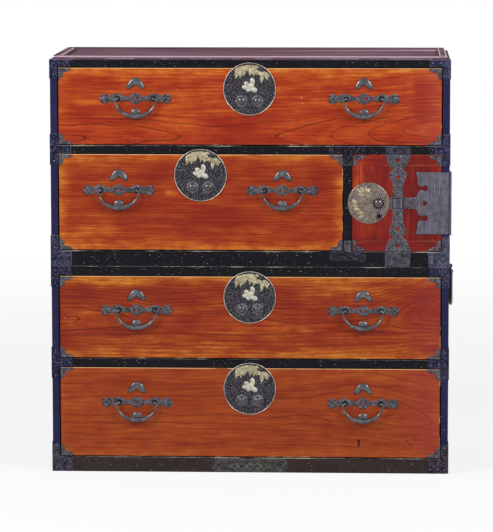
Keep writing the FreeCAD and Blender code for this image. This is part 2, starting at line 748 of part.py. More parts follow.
def make_door():
    """Cleated door with its straps, corner plates and lock."""
    recess = block(
        "door_lock_recess",
        ("door_left", "front_face + lock_skin", "door_middle - lock_width / 2"),
        ("lock_height", "door_lock_depth", "lock_width"))
    panel = block("door_middle_board", ("door_left", "front_face", "door_bottom + cleat_height"),
                  ("door_width", "door_thick", "door_height - 2 * cleat_height"))
    cleats = [
        block(f"door_cleat_{spot}", ("door_left", "front_face", z),
              ("door_width", "door_thick", "cleat_height"))
        for spot, z in (("bottom", "door_bottom"), ("top", "door_bottom + door_height - cleat_height"))]
    node("door_panel", [cut("door_board", panel, recess)] + cleats)

    strap = share_plate("door_strap", STRAP_SHARES, "strap_width", "door_height", "plate_thick")
    place(strap, "door_left + strap_offset", "front_face", "door_middle")
    band_start = "(door_lock_x + door_lock_radius + running_gap)"
    band = block(
        "door_band", (band_start, "plate_face", "door_middle - band_height / 2"),
        (f"right_side - leaf_width - running_gap - {band_start}", "plate_thick", "band_height"))
    crossing = block(
        "door_crossing",
        ("door_left + strap_offset - block_width / 2", "plate_face - block_thick",
         "door_middle - block_height / 2"),
        ("block_width", "block_thick", "block_height"))
    corners = []
    for side, x in (("left", "door_left"), ("right", "door_left + door_width")):
        for level, z in (("bottom", "door_bottom"), ("top", "door_bottom + door_height")):
            plate = corner_plate(f"door_corner_{side}_{level}", side == "left", level == "bottom")
            corners.append(place(plate, x, "front_face", z))
    node("door_irons", [fuse("door_cross", [strap, band]), crossing] + corners)
    make_door_lock()


def make_door_lock():
    """Round lock plate, stud, keyhole ring, lock body and its bolt."""
    plates = lock_plate("door_lock", "door_lock_x", "door_middle", "door_lock_radius")
    door_stud = stud("door_stud", "door_lock_x + door_stud_offset", "door_middle", "plate_face",
                     "door_stud_base_radius", "door_stud_radius", "door_stud_height")
    ring_spot = ("door_lock_x + keyhole_offset", "plate_face", "door_middle - keyhole_drop")
    ring = cut("keyhole_ring",
               rod("keyhole_ring_disc", ring_spot, "keyhole_radius", "keyhole_height", "front"),
               rod("keyhole_ring_bore", ring_spot, "keyhole_bore", "keyhole_height", "front"))
    body = block(
        "door_lock_body",
        ("door_left + lock_clearance", "front_face + lock_skin + lock_clearance",
         "door_middle - lock_width / 2 + lock_clearance"),
        ("lock_height - 2 * lock_clearance", "door_lock_depth - 2 * lock_clearance",
         "lock_width - 2 * lock_clearance"))
    channel = block(
        "door_lock_channel",
        ("door_left", "bolt_front - lock_clearance", "door_middle - bolt_width / 2 - lock_clearance"),
        ("bolt_sink + bolt_height + lock_clearance", "bolt_depth + 2 * lock_clearance",
         "bolt_width + 2 * lock_clearance"))
    node("door_lock", plates + [door_stud, ring, cut("door_lock_case", body, channel)])
    bolt = block(
        "door_bolt_bar", ("door_left + bolt_sink", "bolt_front", "door_middle - bolt_width / 2"),
        ("bolt_height", "bolt_depth", "bolt_width"))
    node("door_bolt", [bolt])


def knuckles(name, numbers):
    """Round barrels of a hinge leaf, every other one along the pin."""
    return [
        rod(f"{name}_knuckle_{number}",
            ("hinge_x", "hinge_y", f"leaf_bottom + {number} * knuckle_pitch + knuckle_gap / 2"),
            "knuckle_radius", "knuckle_pitch - knuckle_gap", "up")
        for number in numbers]


def hinge_leaf(name, plate, numbers):
    """Leaf plate cut clear of the other leaf's barrels, with its own on it."""
    reach = "(knuckle_radius + leaf_notch_play)"
    notches = [
        block(f"{name}_notch_{number}",
              (f"hinge_x - {reach}", f"hinge_y - {reach}",
               f"leaf_bottom + {number} * knuckle_pitch - knuckle_gap / 2"),
              (f"2 * {reach}", f"2 * {reach}", "knuckle_pitch + knuckle_gap"))
        for number in range(KNUCKLES) if number not in numbers]
    notched = cut(f"{name}_notched", plate, group(f"{name}_notches", notches))
    solid = fuse(f"{name}_solid", [notched] + knuckles(name, numbers))
    bore = rod(f"{name}_bore", ("hinge_x", "hinge_y", "leaf_bottom - knuckle_pitch"),
               "hinge_pin_radius + hinge_pin_clearance", "leaf_height + 2 * knuckle_pitch", "up")
    return cut(f"{name}_bored", solid, bore)


def make_hinge():
    """Door leaf over the stile, case leaf on the side and the pin."""
    door_plate = share_plate("door_leaf_plate", LEAF_SHARES, "leaf_width", "leaf_height", "plate_thick")
    place(door_plate, "right_side - leaf_width / 2", "front_face", "door_middle")
    node("door_hinge_leaf", [hinge_leaf("door_leaf", door_plate, range(0, KNUCKLES, 2))])
    side_plate = block("case_leaf_plate", ("right_side", "front_face", "leaf_bottom"),
                       ("plate_thick", "leaf_side_reach", "leaf_height"))
    node("upper_hinge_leaf", [hinge_leaf("case_leaf", side_plate, range(1, KNUCKLES, 2))])
    pin = rod("hinge_pin_rod", ("hinge_x", "hinge_y", "leaf_bottom"),
              "hinge_pin_radius", "leaf_height", "up")
    node("hinge_pin", [pin])


def make_inner_drawers():
    """Two small drawers, one over the other, behind the door."""
    width = "(door_opening - 2 * front_gap)"
    for spot, floor in (("lower", "floor_two"), ("upper", "(floor_two + inner_opening + cupboard_shelf)")):
        name = f"inner_drawer_{spot}"
        bottom = f"{floor} + running_gap"
        front = block(f"{name}_front", ("door_left", "inner_face", bottom),
                      (width, "inner_front", "inner_opening - front_gap"))
        start = "inner_face + inner_front"
        height = "inner_opening - inner_headroom"
        base = block(f"{name}_floor", ("door_left", start, bottom), (width, "inner_depth", "inner_floor"))
        walls = [
            block(f"{name}_{side}", (x, start, f"{bottom} + inner_floor"),
                  ("inner_wall", "inner_depth", f"{height} - inner_floor"))
            for side, x in (("left", "door_left"), ("right", f"door_left + {width} - inner_wall"))]
        back = block(
            f"{name}_back",
            ("door_left + inner_wall", f"{start} + inner_depth - inner_wall", f"{bottom} + inner_floor"),
            (f"{width} - 2 * inner_wall", "inner_wall", f"{height} - inner_floor"))
        knob_x = f"door_left + {width} / 2"
        knob_z = f"{bottom} + inner_opening / 2"
        stem = rod(f"{name}_knob_stem", (knob_x, "inner_face", knob_z), "knob_stem_radius",
                   "knob_reach / 2", "front")
        head = dome(f"{name}_knob_head", (knob_x, "inner_face - knob_reach / 2", knob_z), "knob_radius",
                    "knob_reach / 2")
        node(name, [front, base] + walls + [back, stem, head])


def check_document():
    """Stop if any object failed or any sub-part is empty or not valid."""
    for item in document.Objects:
        if "Invalid" in item.State or "Error" in item.State:
            raise RuntimeError(f"{item.Name} failed: {item.State}")
    for item in nodes:
        if item.Shape.isNull() or not item.Shape.isValid():
            raise RuntimeError(f"{item.Label} has no valid shape")


def write_parts():
    """Write each sub-part to its own file and print its solids."""
    os.makedirs("parts", exist_ok=True)
    for item in nodes:
        item.Shape.exportStep(f"parts/{item.Label}.step")
        volume = item.Shape.Volume / CUBIC_CENTIMETRE
        print(f"{item.Label}: {len(item.Shape.Solids)} solids, {volume:.1f} cm3")
    print(f"{len(nodes)} sub-parts written")


def build_chest():
    """Make every sub-part of the chest in the document."""
    fill_sheet()
    make_case("lower", "three", "0", "seam", "ceiling_three", "lower_top")
    make_shelf("lower", "four", "ceiling_four", "lower_shelf_rail")
    make_base("lower", "0", "lower_base_rail")
    make_lower_irons()
    make_handles()
    make_case("upper", "one", "seam", "case_top", "ceiling_one", "upper_top")
    make_shelf("upper", "two", "ceiling_two", "upper_shelf_rail")
    make_base("upper", "seam", "upper_base_rail")
    make_partition()
    make_lip()
    make_upper_irons()
    fittings = pull_fittings()
    pull_bail = bail("pull_bail", "bail_reach", "bail_drop", "pivot_spread", "bail_end_radius",
                     "bail_ball_radius", "bail_mid_height", "bail_mid_depth")
    for number in DRAWERS:
        make_drawer(number, fittings, pull_bail)
    make_door()
    make_hinge()
    make_inner_drawers()
    document.recompute()


build_chest()
check_document()
write_parts()
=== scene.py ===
import logging
from dataclasses import dataclass, field
from enum import Enum
from typing import Any, Sequence

import bmesh
import bpy
import numpy as np
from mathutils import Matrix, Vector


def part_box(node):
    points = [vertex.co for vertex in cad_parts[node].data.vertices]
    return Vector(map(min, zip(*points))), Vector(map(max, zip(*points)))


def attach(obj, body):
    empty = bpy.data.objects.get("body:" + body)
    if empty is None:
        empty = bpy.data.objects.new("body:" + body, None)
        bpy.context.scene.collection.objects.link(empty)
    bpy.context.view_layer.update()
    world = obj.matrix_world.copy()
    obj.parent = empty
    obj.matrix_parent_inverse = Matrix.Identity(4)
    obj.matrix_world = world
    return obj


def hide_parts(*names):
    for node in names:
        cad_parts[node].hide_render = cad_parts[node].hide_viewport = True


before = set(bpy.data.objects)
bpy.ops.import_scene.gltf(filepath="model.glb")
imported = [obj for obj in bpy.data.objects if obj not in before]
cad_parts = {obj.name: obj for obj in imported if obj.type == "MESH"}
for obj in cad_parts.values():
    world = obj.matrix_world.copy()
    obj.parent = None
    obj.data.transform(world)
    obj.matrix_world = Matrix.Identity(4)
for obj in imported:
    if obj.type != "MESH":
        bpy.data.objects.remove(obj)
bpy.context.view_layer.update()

# The dressed clothing chest. Lengths in this script are in millimetres until
# place_points turns them into the frame's metres, and only the studio's are in
# metres from the start. X runs right, Y back and Z up.

METRES = 0.001
FRONT_FACE = -220.0
CASE_HALF_WIDTH = 550.0
CASES = {"lower": "lower_case", "upper": "upper_case"}
SMOOTH_ANGLE = np.radians(38)
# Points nearer than this, in metres, are one point of a node or of a new piece
NODE_WELD = 1e-5
PIECE_WELD = 2e-6
# Radius of the small flat face that ends a round form, and the share of a quarter
# turn at which a dome ends, just off its top
TIP = 0.4
DOME_END = 0.985
LOG = logging.getLogger("clothing_chest")

# Short names for the types that most functions take or give
Material = bpy.types.Material
Mesh = bpy.types.Mesh
Tree = bpy.types.NodeTree
Socket = bpy.types.NodeSocket
Triple = tuple[float, float, float]

# Socket numbers of the Mix node when it mixes colours. Elsewhere 0 to 2 are the
# values of a Math node. In a Map Range node 1 and 2 are the ends of the range
# that comes in, and 3 and 4 are what those ends turn into.
MIX_A = 6
MIX_B = 7
MIX_OUT = 2
# Length given to a pattern along an axis that it doesn't follow
ENDLESS = 1e6
# How far one step of a board's seed moves its patterns along the grain
SEED_STEP = 97
# Where each of a wood's six colours stands on the scale of its tone
TONE_STOPS = (0.235, 0.285, 0.33, 0.375, 0.425, 0.49)


class Grain(Enum):
    """Way that the wood's fibres run in a board."""

    ACROSS = "across"
    UPRIGHT = "upright"


class Side(Enum):
    """Left or right half of the front, as the sign of X."""

    LEFT = -1
    RIGHT = 1


def linear(code: str) -> tuple[float, float, float, float]:
    """Turn an sRGB hex colour into a linear one.

    Args:
        code: six hex digits with a leading number sign.

    Returns:
        The linear red, green, blue and an alpha of one.
    """
    parts = np.array([int(code[spot:spot + 2], 16) for spot in (1, 3, 5)]) / 255
    low = parts / 12.92
    high = ((parts + 0.055) / 1.055) ** 2.4
    return (*np.where(parts <= 0.04045, low, high).tolist(), 1.0)


def add_node(tree: Tree, kind: str, inputs: dict[Any, Any] | None = None,
             **settings: Any) -> bpy.types.Node:
    """Add a node with its settings, and set or link its inputs.

    Args:
        tree: node tree that takes the node.
        kind: node type without its ShaderNode prefix.
        inputs: for each input's name or number, a socket to link or a value.
        settings: properties of the node itself.

    Returns:
        The new node.
    """
    node = tree.nodes.new(f"ShaderNode{kind}")
    for key, value in settings.items():
        setattr(node, key, value)
    for key, value in (inputs or {}).items():
        if isinstance(value, Socket):
            tree.links.new(value, node.inputs[key])
        else:
            node.inputs[key].default_value = value
    return node


def new_tree(name: str) -> tuple[Material, Tree, Socket]:
    """Start a material whose patterns run in millimetres on Object coordinates.

    Args:
        name: the material's name.

    Returns:
        The material, its emptied tree and the coordinates in millimetres.
    """
    material = bpy.data.materials.new(name)
    material.use_nodes = True
    tree = material.node_tree
    tree.nodes.clear()
    spot = add_node(tree, "TexCoord")
    scaled = add_node(tree, "VectorMath", {0: spot.outputs["Object"], "Scale": 1 / METRES},
                      operation="SCALE")
    return material, tree, scaled.outputs[0]


def stretched(tree: Tree, spot: Socket,
              lengths: Triple,
              centre: Triple = (0, 0, 0)) -> Socket:
    """Divide coordinates by a pattern's real lengths along X, Y and Z.

    Args:
        tree: node tree of the material.
        spot: coordinates in millimetres.
        lengths: size of one repeat of the pattern, in millimetres.
        centre: point that becomes the pattern's origin, in millimetres.

    Returns:
        The coordinates, counted in repeats of the pattern.
    """
    moved = add_node(tree, "VectorMath", {0: spot, 1: centre}, operation="SUBTRACT")
    scale = tuple(1 / length for length in lengths)
    return add_node(tree, "VectorMath", {0: moved.outputs[0], 1: scale}, operation="MULTIPLY").outputs[0]


def blend_colours(tree: Tree, share: Any, first: Any, second: Any) -> Socket:
    """Lay one colour over another.

    Args:
        tree: node tree of the material.
        share: how much of the second colour shows, a socket or a number.
        first: the colour below, a socket or a linear colour.
        second: the colour above, a socket or a linear colour.

    Returns:
        The mixed colour.
    """
    mixed = add_node(tree, "Mix", {0: share, MIX_A: first, MIX_B: second}, data_type="RGBA")
    return mixed.outputs[MIX_OUT]


def close_material(tree: Tree, shader: dict[str, Any], bump: Socket,
                   depth: float) -> None:
    """End a material with its bump, its shader and its output.

    Args:
        tree: node tree of the material.
        shader: inputs of the Principled shader.
        bump: height pattern, from 0 to 1.
        depth: height of that pattern in millimetres.
    """
    relief = add_node(tree, "Bump", {"Height": bump, "Distance": depth * METRES, "Strength": 1.0})
    surface = add_node(tree, "BsdfPrincipled", {**shader, "Normal": relief.outputs[0]})
    add_node(tree, "OutputMaterial", {"Surface": surface.outputs[0]})


@dataclass(frozen=True)
class Heart:
    """Place where the saw passed near the heart of the trunk.

    The rings close into long pointed loops about it, and the lift raises the
    loops' middle line there.
    """

    along: float
    half_length: float
    depth: float
    lift: float = 0.0


@dataclass(frozen=True)
class Glow:
    """Soft oval where the lacquer lies thinner, or thicker below zero."""

    x: float
    z: float
    half_width: float
    half_height: float
    amount: float


@dataclass(frozen=True)
class Mark:
    """Small spot or closed line in the wood, as an ellipse."""

    x: float
    z: float
    half_width: float
    half_height: float
    shade: str = "#2c120c"
    hollow: bool = False


@dataclass(frozen=True)
class LacqueredElm:
    """Zelkova under transparent red lacquer, rubbed smooth.

    The eye sees warm orange and red streaks that flow along the rings, gold
    where the lacquer is thin at the edges, fine dark lines of late wood that
    close into pointed loops, and a soft gloss from the lacquer.
    """

    name: str
    grain: Grain
    centre: tuple[float, float]
    half_size: tuple[float, float]
    tones: tuple[str, ...]
    top_gold: float
    bottom_gold: float
    seed: float
    heart_line: float
    heart_depth: float
    side_gold: float = 0.0
    gold_width: float = 38.0
    # How far the heart line and the heart's depth wander along the board
    line_wander: float = 34.0
    depth_wander: float = 7.0
    hearts: tuple[Heart, ...] = ()
    glows: tuple[Glow, ...] = ()
    ring_spacing: float = 9.0
    # Strength of the lines up to the near reach from the heart line and past the far one
    ring_strength: float = 1.0
    far_strength: float = 0.34
    near_reach: float = 34.0
    far_reach: float = 72.0
    line_width: float = 2.5
    least_rate: float = 0.13
    # Pink of the lacquer, which grows from one place along the board to the other
    blush: float = 0.0
    blush_from: float = 380.0
    blush_to: float = 528.0
    marks: tuple[Mark, ...] = ()

    def build(self) -> Material:
        """Make the material.

        Returns:
            The finished wood material.
        """
        material, tree, world = new_tree(self.name)
        parts = add_node(tree, "SeparateXYZ", {0: world})
        along, over = (parts.outputs["X"], parts.outputs["Z"])
        if self.grain is Grain.UPRIGHT:
            along, over = over, along
        spot = add_node(tree, "CombineXYZ", {"X": along, "Y": self.seed, "Z": over}).outputs[0]
        reach, across = self.ring_reach(tree, spot, along, over)
        flow = add_node(tree, "CombineXYZ", {"X": along, "Y": over, "Z": reach}).outputs[0]

        # Lengths of each pattern along the grain and across it. Real fibres
        # are ten times as fine as these, which are as coarse as the eye needs.
        layers = {}
        for key, (place, lengths, detail) in {"streaks": (flow, (300, 110, 11), 2.0),
                                              "fibres": (spot, (150, 1, 5.0), 4.0),
                                              "clouds": (spot, (60, 1, 26), 3.0)}.items():
            layers[key] = add_node(tree, "TexNoise", {
                "Vector": stretched(tree, place, lengths, (self.seed * SEED_STEP, 0, 0)), "Scale": 1.0,
                "Detail": detail, "Roughness": 0.6}).outputs[0]
        tone: Any = self.tone_places(tree, parts, layers["clouds"])
        for key, weight in (("streaks", 0.16), ("clouds", 0.22), ("fibres", 0.28)):
            tone = add_node(tree, "Math", {0: layers[key], 1: weight, 2: tone},
                            operation="MULTIPLY_ADD").outputs[0]
        body = add_node(tree, "ValToRGB", {0: tone})
        ramp = body.color_ramp
        while len(ramp.elements) < len(self.tones):
            ramp.elements.new(0.5)
        for element, place, shade in zip(ramp.elements, TONE_STOPS, self.tones):
            element.position = place
            element.color = linear(shade)

        lines = self.ring_lines(tree, reach, across, layers["clouds"])
        colour = blend_colours(tree, lines, body.outputs[0], linear("#491105"))
        if self.blush:
            pink = add_node(tree, "MapRange", {0: along, 1: self.blush_from, 2: self.blush_to, 3: 0.0,
                                               4: self.blush}, interpolation_type="SMOOTHSTEP")
            colour = blend_colours(tree, pink.outputs[0], colour, linear("#9c3b3c"))
        for mark in self.marks:
            colour = blend_colours(tree, self.mark_share(tree, spot, mark), colour, linear(mark.shade))
        gloss = add_node(tree, "MapRange", {0: layers["fibres"], 1: 0.3, 2: 0.7, 3: 0.34, 4: 0.46})
        close_material(tree, {
            "Base Color": colour, "Roughness": gloss.outputs[0], "Specular IOR Level": 0.14,
        }, layers["fibres"], 0.10)
        return material

    def ring_reach(self, tree: Tree, spot: Socket,
                   along: Socket,
                   over: Socket) -> tuple[Socket, Socket]:
        """Distance of a point of the board from the trunk's heart.

        A ring is a cylinder about the heart. A point of the board lies from it
        by the root of its distance across the board squared plus the heart's
        depth below the board squared, so lines of one ring are long arches,
        close together far from the heart line. Slow noise bends them.

        Args:
            tree: node tree of the material.
            spot: coordinates with X along the grain and Z across it.
            along: the coordinate along the grain.
            over: the coordinate across the grain.

        Returns:
            That distance, and the distance from the heart line, in millimetres.
        """
        warp = add_node(tree, "TexNoise", {"Vector": stretched(tree, spot, (210, 1, 120)), "Scale": 1.0,
                                           "Detail": 2.5, "Roughness": 0.45})
        bend = add_node(tree, "SeparateColor", {0: warp.outputs["Color"]})
        line = add_node(tree, "Math", {0: bend.outputs[0], 1: self.line_wander,
                                       2: self.heart_line - self.line_wander / 2},
                        operation="MULTIPLY_ADD").outputs[0]
        depth = add_node(tree, "Math", {0: bend.outputs[1], 1: self.depth_wander,
                                        2: self.heart_depth - self.depth_wander / 2},
                         operation="MULTIPLY_ADD").outputs[0]
        for heart in self.hearts:
            away = add_node(tree, "Math", {0: along, 1: heart.along}, operation="SUBTRACT").outputs[0]
            away = add_node(tree, "Math", {0: away}, operation="ABSOLUTE").outputs[0]
            near = add_node(tree, "MapRange", {0: away, 1: 0.0, 2: heart.half_length, 3: 1.0, 4: 0.0},
                            interpolation_type="SMOOTHSTEP").outputs[0]
            depth = add_node(tree, "Math", {0: near, 1: -heart.depth, 2: depth},
                             operation="MULTIPLY_ADD").outputs[0]
            if heart.lift:
                line = add_node(tree, "Math", {0: near, 1: heart.lift, 2: line},
                                operation="MULTIPLY_ADD").outputs[0]
        across = add_node(tree, "Math", {0: over, 1: line}, operation="SUBTRACT").outputs[0]
        sides = add_node(tree, "CombineXYZ", {"X": across, "Y": depth})
        reach = add_node(tree, "VectorMath", {0: sides.outputs[0]}, operation="LENGTH").outputs["Value"]
        return reach, add_node(tree, "Math", {0: across}, operation="ABSOLUTE").outputs[0]

    def ring_lines(self, tree: Tree, reach: Socket,
                   across: Socket, clouds: Socket) -> Socket:
        """Share of late wood: one thin line a ring.

        The line is kept equally thin everywhere: its width among the rings is
        its width on the board times the rate at which the distance from the
        heart grows there, which is across over reach, and not less than the
        least rate, so that a line keeps an end on the heart line itself.

        Args:
            tree: node tree of the material.
            reach: distance from the trunk's heart in millimetres.
            across: distance from the heart line in millimetres.
            clouds: slow pattern that fades the lines here and there.

        Returns:
            The share, from 0 to 1.
        """
        count = add_node(tree, "Math", {0: reach, 1: 1 / self.ring_spacing}, operation="MULTIPLY").outputs[0]
        turn = add_node(tree, "Math", {0: count}, operation="FRACT").outputs[0]
        aside = add_node(tree, "Math", {0: turn, 1: 0.5}, operation="SUBTRACT").outputs[0]
        aside = add_node(tree, "Math", {0: aside}, operation="ABSOLUTE").outputs[0]
        rate = add_node(tree, "Math", {0: across, 1: reach}, operation="DIVIDE").outputs[0]
        rate = add_node(tree, "Math", {0: rate, 1: self.least_rate}, operation="MAXIMUM").outputs[0]
        wide = add_node(tree, "Math", {0: rate, 1: self.line_width / self.ring_spacing},
                        operation="MULTIPLY").outputs[0]
        line = add_node(tree, "MapRange", {0: aside, 1: 0.0, 2: wide, 3: 1.0, 4: 0.0}).outputs[0]
        ring = add_node(tree, "Math", {0: count}, operation="FLOOR").outputs[0]
        ring = add_node(tree, "TexWhiteNoise", {"W": ring}, noise_dimensions="1D").outputs[0]
        ring = add_node(tree, "MapRange", {0: ring, 1: 0.0, 2: 1.0, 3: 0.6, 4: 1.1}).outputs[0]
        near = add_node(tree, "MapRange", {0: across, 1: self.near_reach, 2: self.far_reach,
                                           3: self.ring_strength, 4: self.far_strength}).outputs[0]
        fade = add_node(tree, "MapRange", {0: clouds, 1: 0.36, 2: 0.56, 3: 0.35, 4: 1.0}).outputs[0]
        for share in (ring, near, fade):
            line = add_node(tree, "Math", {0: line, 1: share}, operation="MULTIPLY").outputs[0]
        return line

    def tone_places(self, tree: Tree, parts: bpy.types.Node,
                    clouds: Socket) -> Socket:
        """What the lacquer's thickness adds to the tone: edges and ovals.

        Args:
            tree: node tree of the material.
            parts: node that gives X and Z in millimetres.
            clouds: pattern that breaks the places up.

        Returns:
            The addition, about -0.1 to 0.15.
        """
        total: Any = 0.0
        across, up = parts.outputs["X"], parts.outputs["Z"]
        for axis, centre, half, sign, amount in (
                (up, self.centre[1], self.half_size[1], 1, self.top_gold),
                (up, self.centre[1], self.half_size[1], -1, self.bottom_gold),
                (across, self.centre[0], self.half_size[0], -1, self.side_gold),
                (across, self.centre[0], self.half_size[0], 1, self.side_gold)):
            start = centre + sign * (half - self.gold_width)
            end = centre + sign * half
            band = add_node(tree, "MapRange", {0: axis, 1: start, 2: end, 3: 0.0, 4: amount},
                            interpolation_type="SMOOTHSTEP")
            total = add_node(tree, "Math", {0: band.outputs[0], 1: total}, operation="ADD").outputs[0]
        flat = add_node(tree, "CombineXYZ", {"X": across, "Z": up}).outputs[0]
        for glow in self.glows:
            near = stretched(tree, flat, (glow.half_width, ENDLESS, glow.half_height), (glow.x, 0, glow.z))
            away = add_node(tree, "VectorMath", {0: near}, operation="LENGTH").outputs["Value"]
            oval = add_node(tree, "MapRange", {0: away, 1: 0.2, 2: 1.5, 3: glow.amount, 4: 0.0},
                            interpolation_type="SMOOTHSTEP")
            total = add_node(tree, "Math", {0: oval.outputs[0], 1: total}, operation="ADD").outputs[0]
        broken = add_node(tree, "MapRange", {0: clouds, 1: 0.36, 2: 0.64, 3: 0.75, 4: 1.2})
        return add_node(tree, "Math", {0: total, 1: broken.outputs[0]}, operation="MULTIPLY").outputs[0]

    def mark_share(self, tree: Tree, spot: Socket,
                   mark: Mark) -> Socket:
        """Share of one mark: a filled ellipse, or a thin line round a hollow one.

        Args:
            tree: node tree of the material.
            spot: coordinates with X along the grain and Z across it.
            mark: the mark.

        Returns:
            The share, from 0 to 1.
        """
        near = stretched(tree, spot, (mark.half_width, ENDLESS, mark.half_height), (mark.x, 0, mark.z))
        reach = add_node(tree, "VectorMath", {0: near}, operation="LENGTH").outputs["Value"]
        if mark.hollow:
            reach = add_node(tree, "Math", {0: reach, 1: 1.0}, operation="SUBTRACT").outputs[0]
            reach = add_node(tree, "Math", {0: reach}, operation="ABSOLUTE").outputs[0]
            return add_node(tree, "MapRange", {0: reach, 1: 0.0, 2: 0.24, 3: 0.5, 4: 0.0}).outputs[0]
        return add_node(tree, "MapRange", {0: reach, 1: 1.0, 2: 0.6, 3: 0.0, 4: 0.9}).outputs[0]


@dataclass(frozen=True)
class BlackLacquer:
    """Dark lacquer on softwood, brushed on and worn.

    The eye sees a satin skin with a slow change of tint, and small pale specks
    where the lacquer has chipped to the ground below. Where it is scuffed,
    long pale and reddish smears follow the board; the pale ones are partly
    scuffs and partly painted sheen.
    """

    name: str
    base: str
    tint: str
    # Level of the chips' pattern above which the ground shows: the higher, the fewer
    chipped: float
    speck: str = "#a9a6aa"
    rough: float = 0.36
    shine: float = 0.10
    scuff_and_sheen: float = 0.0

    def build(self) -> Material:
        """Make the material.

        Returns:
            The finished lacquer material.
        """
        material, tree, spot = new_tree(self.name)
        slow = add_node(tree, "TexNoise", {"Vector": stretched(tree, spot, (150, 60, 60)), "Scale": 1.0,
                                           "Detail": 3.0})
        colour = blend_colours(tree, slow.outputs[0], linear(self.base), linear(self.tint))
        # Long smears: reddish scuffs, and pale ones that are partly scuffs and partly painted sheen
        if self.scuff_and_sheen:
            for place, shade in (((300, 0, 0), "#6d3a2f"), ((0, 40, 0), "#b49da8")):
                smears = add_node(tree, "TexNoise", {"Vector": stretched(tree, spot, (420, 60, 10), place),
                                                     "Scale": 1.0, "Detail": 8.0, "Roughness": 0.72})
                smear = add_node(tree, "MapRange", {0: smears.outputs[0], 1: 0.4, 2: 0.74, 3: 0.0,
                                                    4: self.scuff_and_sheen})
                colour = blend_colours(tree, smear.outputs[0], colour, linear(shade))
        chips = add_node(tree, "TexNoise", {"Vector": stretched(tree, spot, (8, 5, 2.6)), "Scale": 1.0,
                                            "Detail": 2.0})
        chip = add_node(tree, "MapRange", {0: chips.outputs[0], 1: self.chipped, 2: self.chipped + 0.06,
                                           3: 0.0, 4: 0.9})
        colour = blend_colours(tree, chip.outputs[0], colour, linear(self.speck))
        brushed = add_node(tree, "TexNoise", {"Vector": stretched(tree, spot, (60, 60, 4)), "Scale": 1.0,
                                              "Detail": 3.0})
        gloss = add_node(tree, "MapRange", {0: brushed.outputs[0], 1: 0.3, 2: 0.7, 3: self.rough - 0.06,
                                            4: self.rough + 0.1})
        close_material(tree, {"Base Color": colour, "Roughness": gloss.outputs[0],
                              "Specular IOR Level": self.shine}, brushed.outputs[0], 0.12)
        return material


@dataclass(frozen=True)
class WornAndLitEdge:
    """Rubbed arris of a lacquered board or an iron plate, with a painted highlight.

    The eye sees a broken pale line along the edge, with the kept colour in the
    gaps. The line is partly wear from hands and cloths and partly a painted
    highlight, so it is strongest where the edge looks up.
    """

    name: str
    worn: str
    kept: str
    # How much of the edge is worn, and how much more of it turns pale where it looks up, as a painted highlight
    amount: float
    upper: float

    def build(self) -> Material:
        """Make the material.

        Returns:
            The finished edge material.
        """
        material, tree, spot = new_tree(self.name)
        gaps = add_node(tree, "TexNoise", {"Vector": stretched(tree, spot, (70, 40, 70)), "Scale": 1.0,
                                           "Detail": 4.0, "Roughness": 0.6})
        # Edges that look up turn paler: a painted highlight added to the wear
        facing = add_node(tree, "TexCoord").outputs["Normal"]
        up = add_node(tree, "SeparateXYZ", {0: facing}).outputs["Z"]
        lift = add_node(tree, "MapRange", {0: up, 1: 0.1, 2: 0.6, 3: 0.0, 4: self.upper}).outputs[0]
        raised = add_node(tree, "Math", {0: gaps.outputs[0], 1: lift}, operation="ADD").outputs[0]
        share = add_node(tree, "MapRange", {0: raised, 1: 0.66 - self.amount * 0.4,
                                            2: 0.76 - self.amount * 0.4, 3: 0.0, 4: 1.0})
        colour = blend_colours(tree, share.outputs[0], linear(self.kept), linear(self.worn))
        close_material(tree, {"Base Color": colour, "Roughness": 0.5, "Specular IOR Level": 0.25},
                       gaps.outputs[0], 0.1)
        return material


@dataclass(frozen=True)
class Patch:
    """Plate whose patina differs from its neighbours', as a box on the front."""

    x: float
    z: float
    half_width: float
    half_height: float
    shade: str


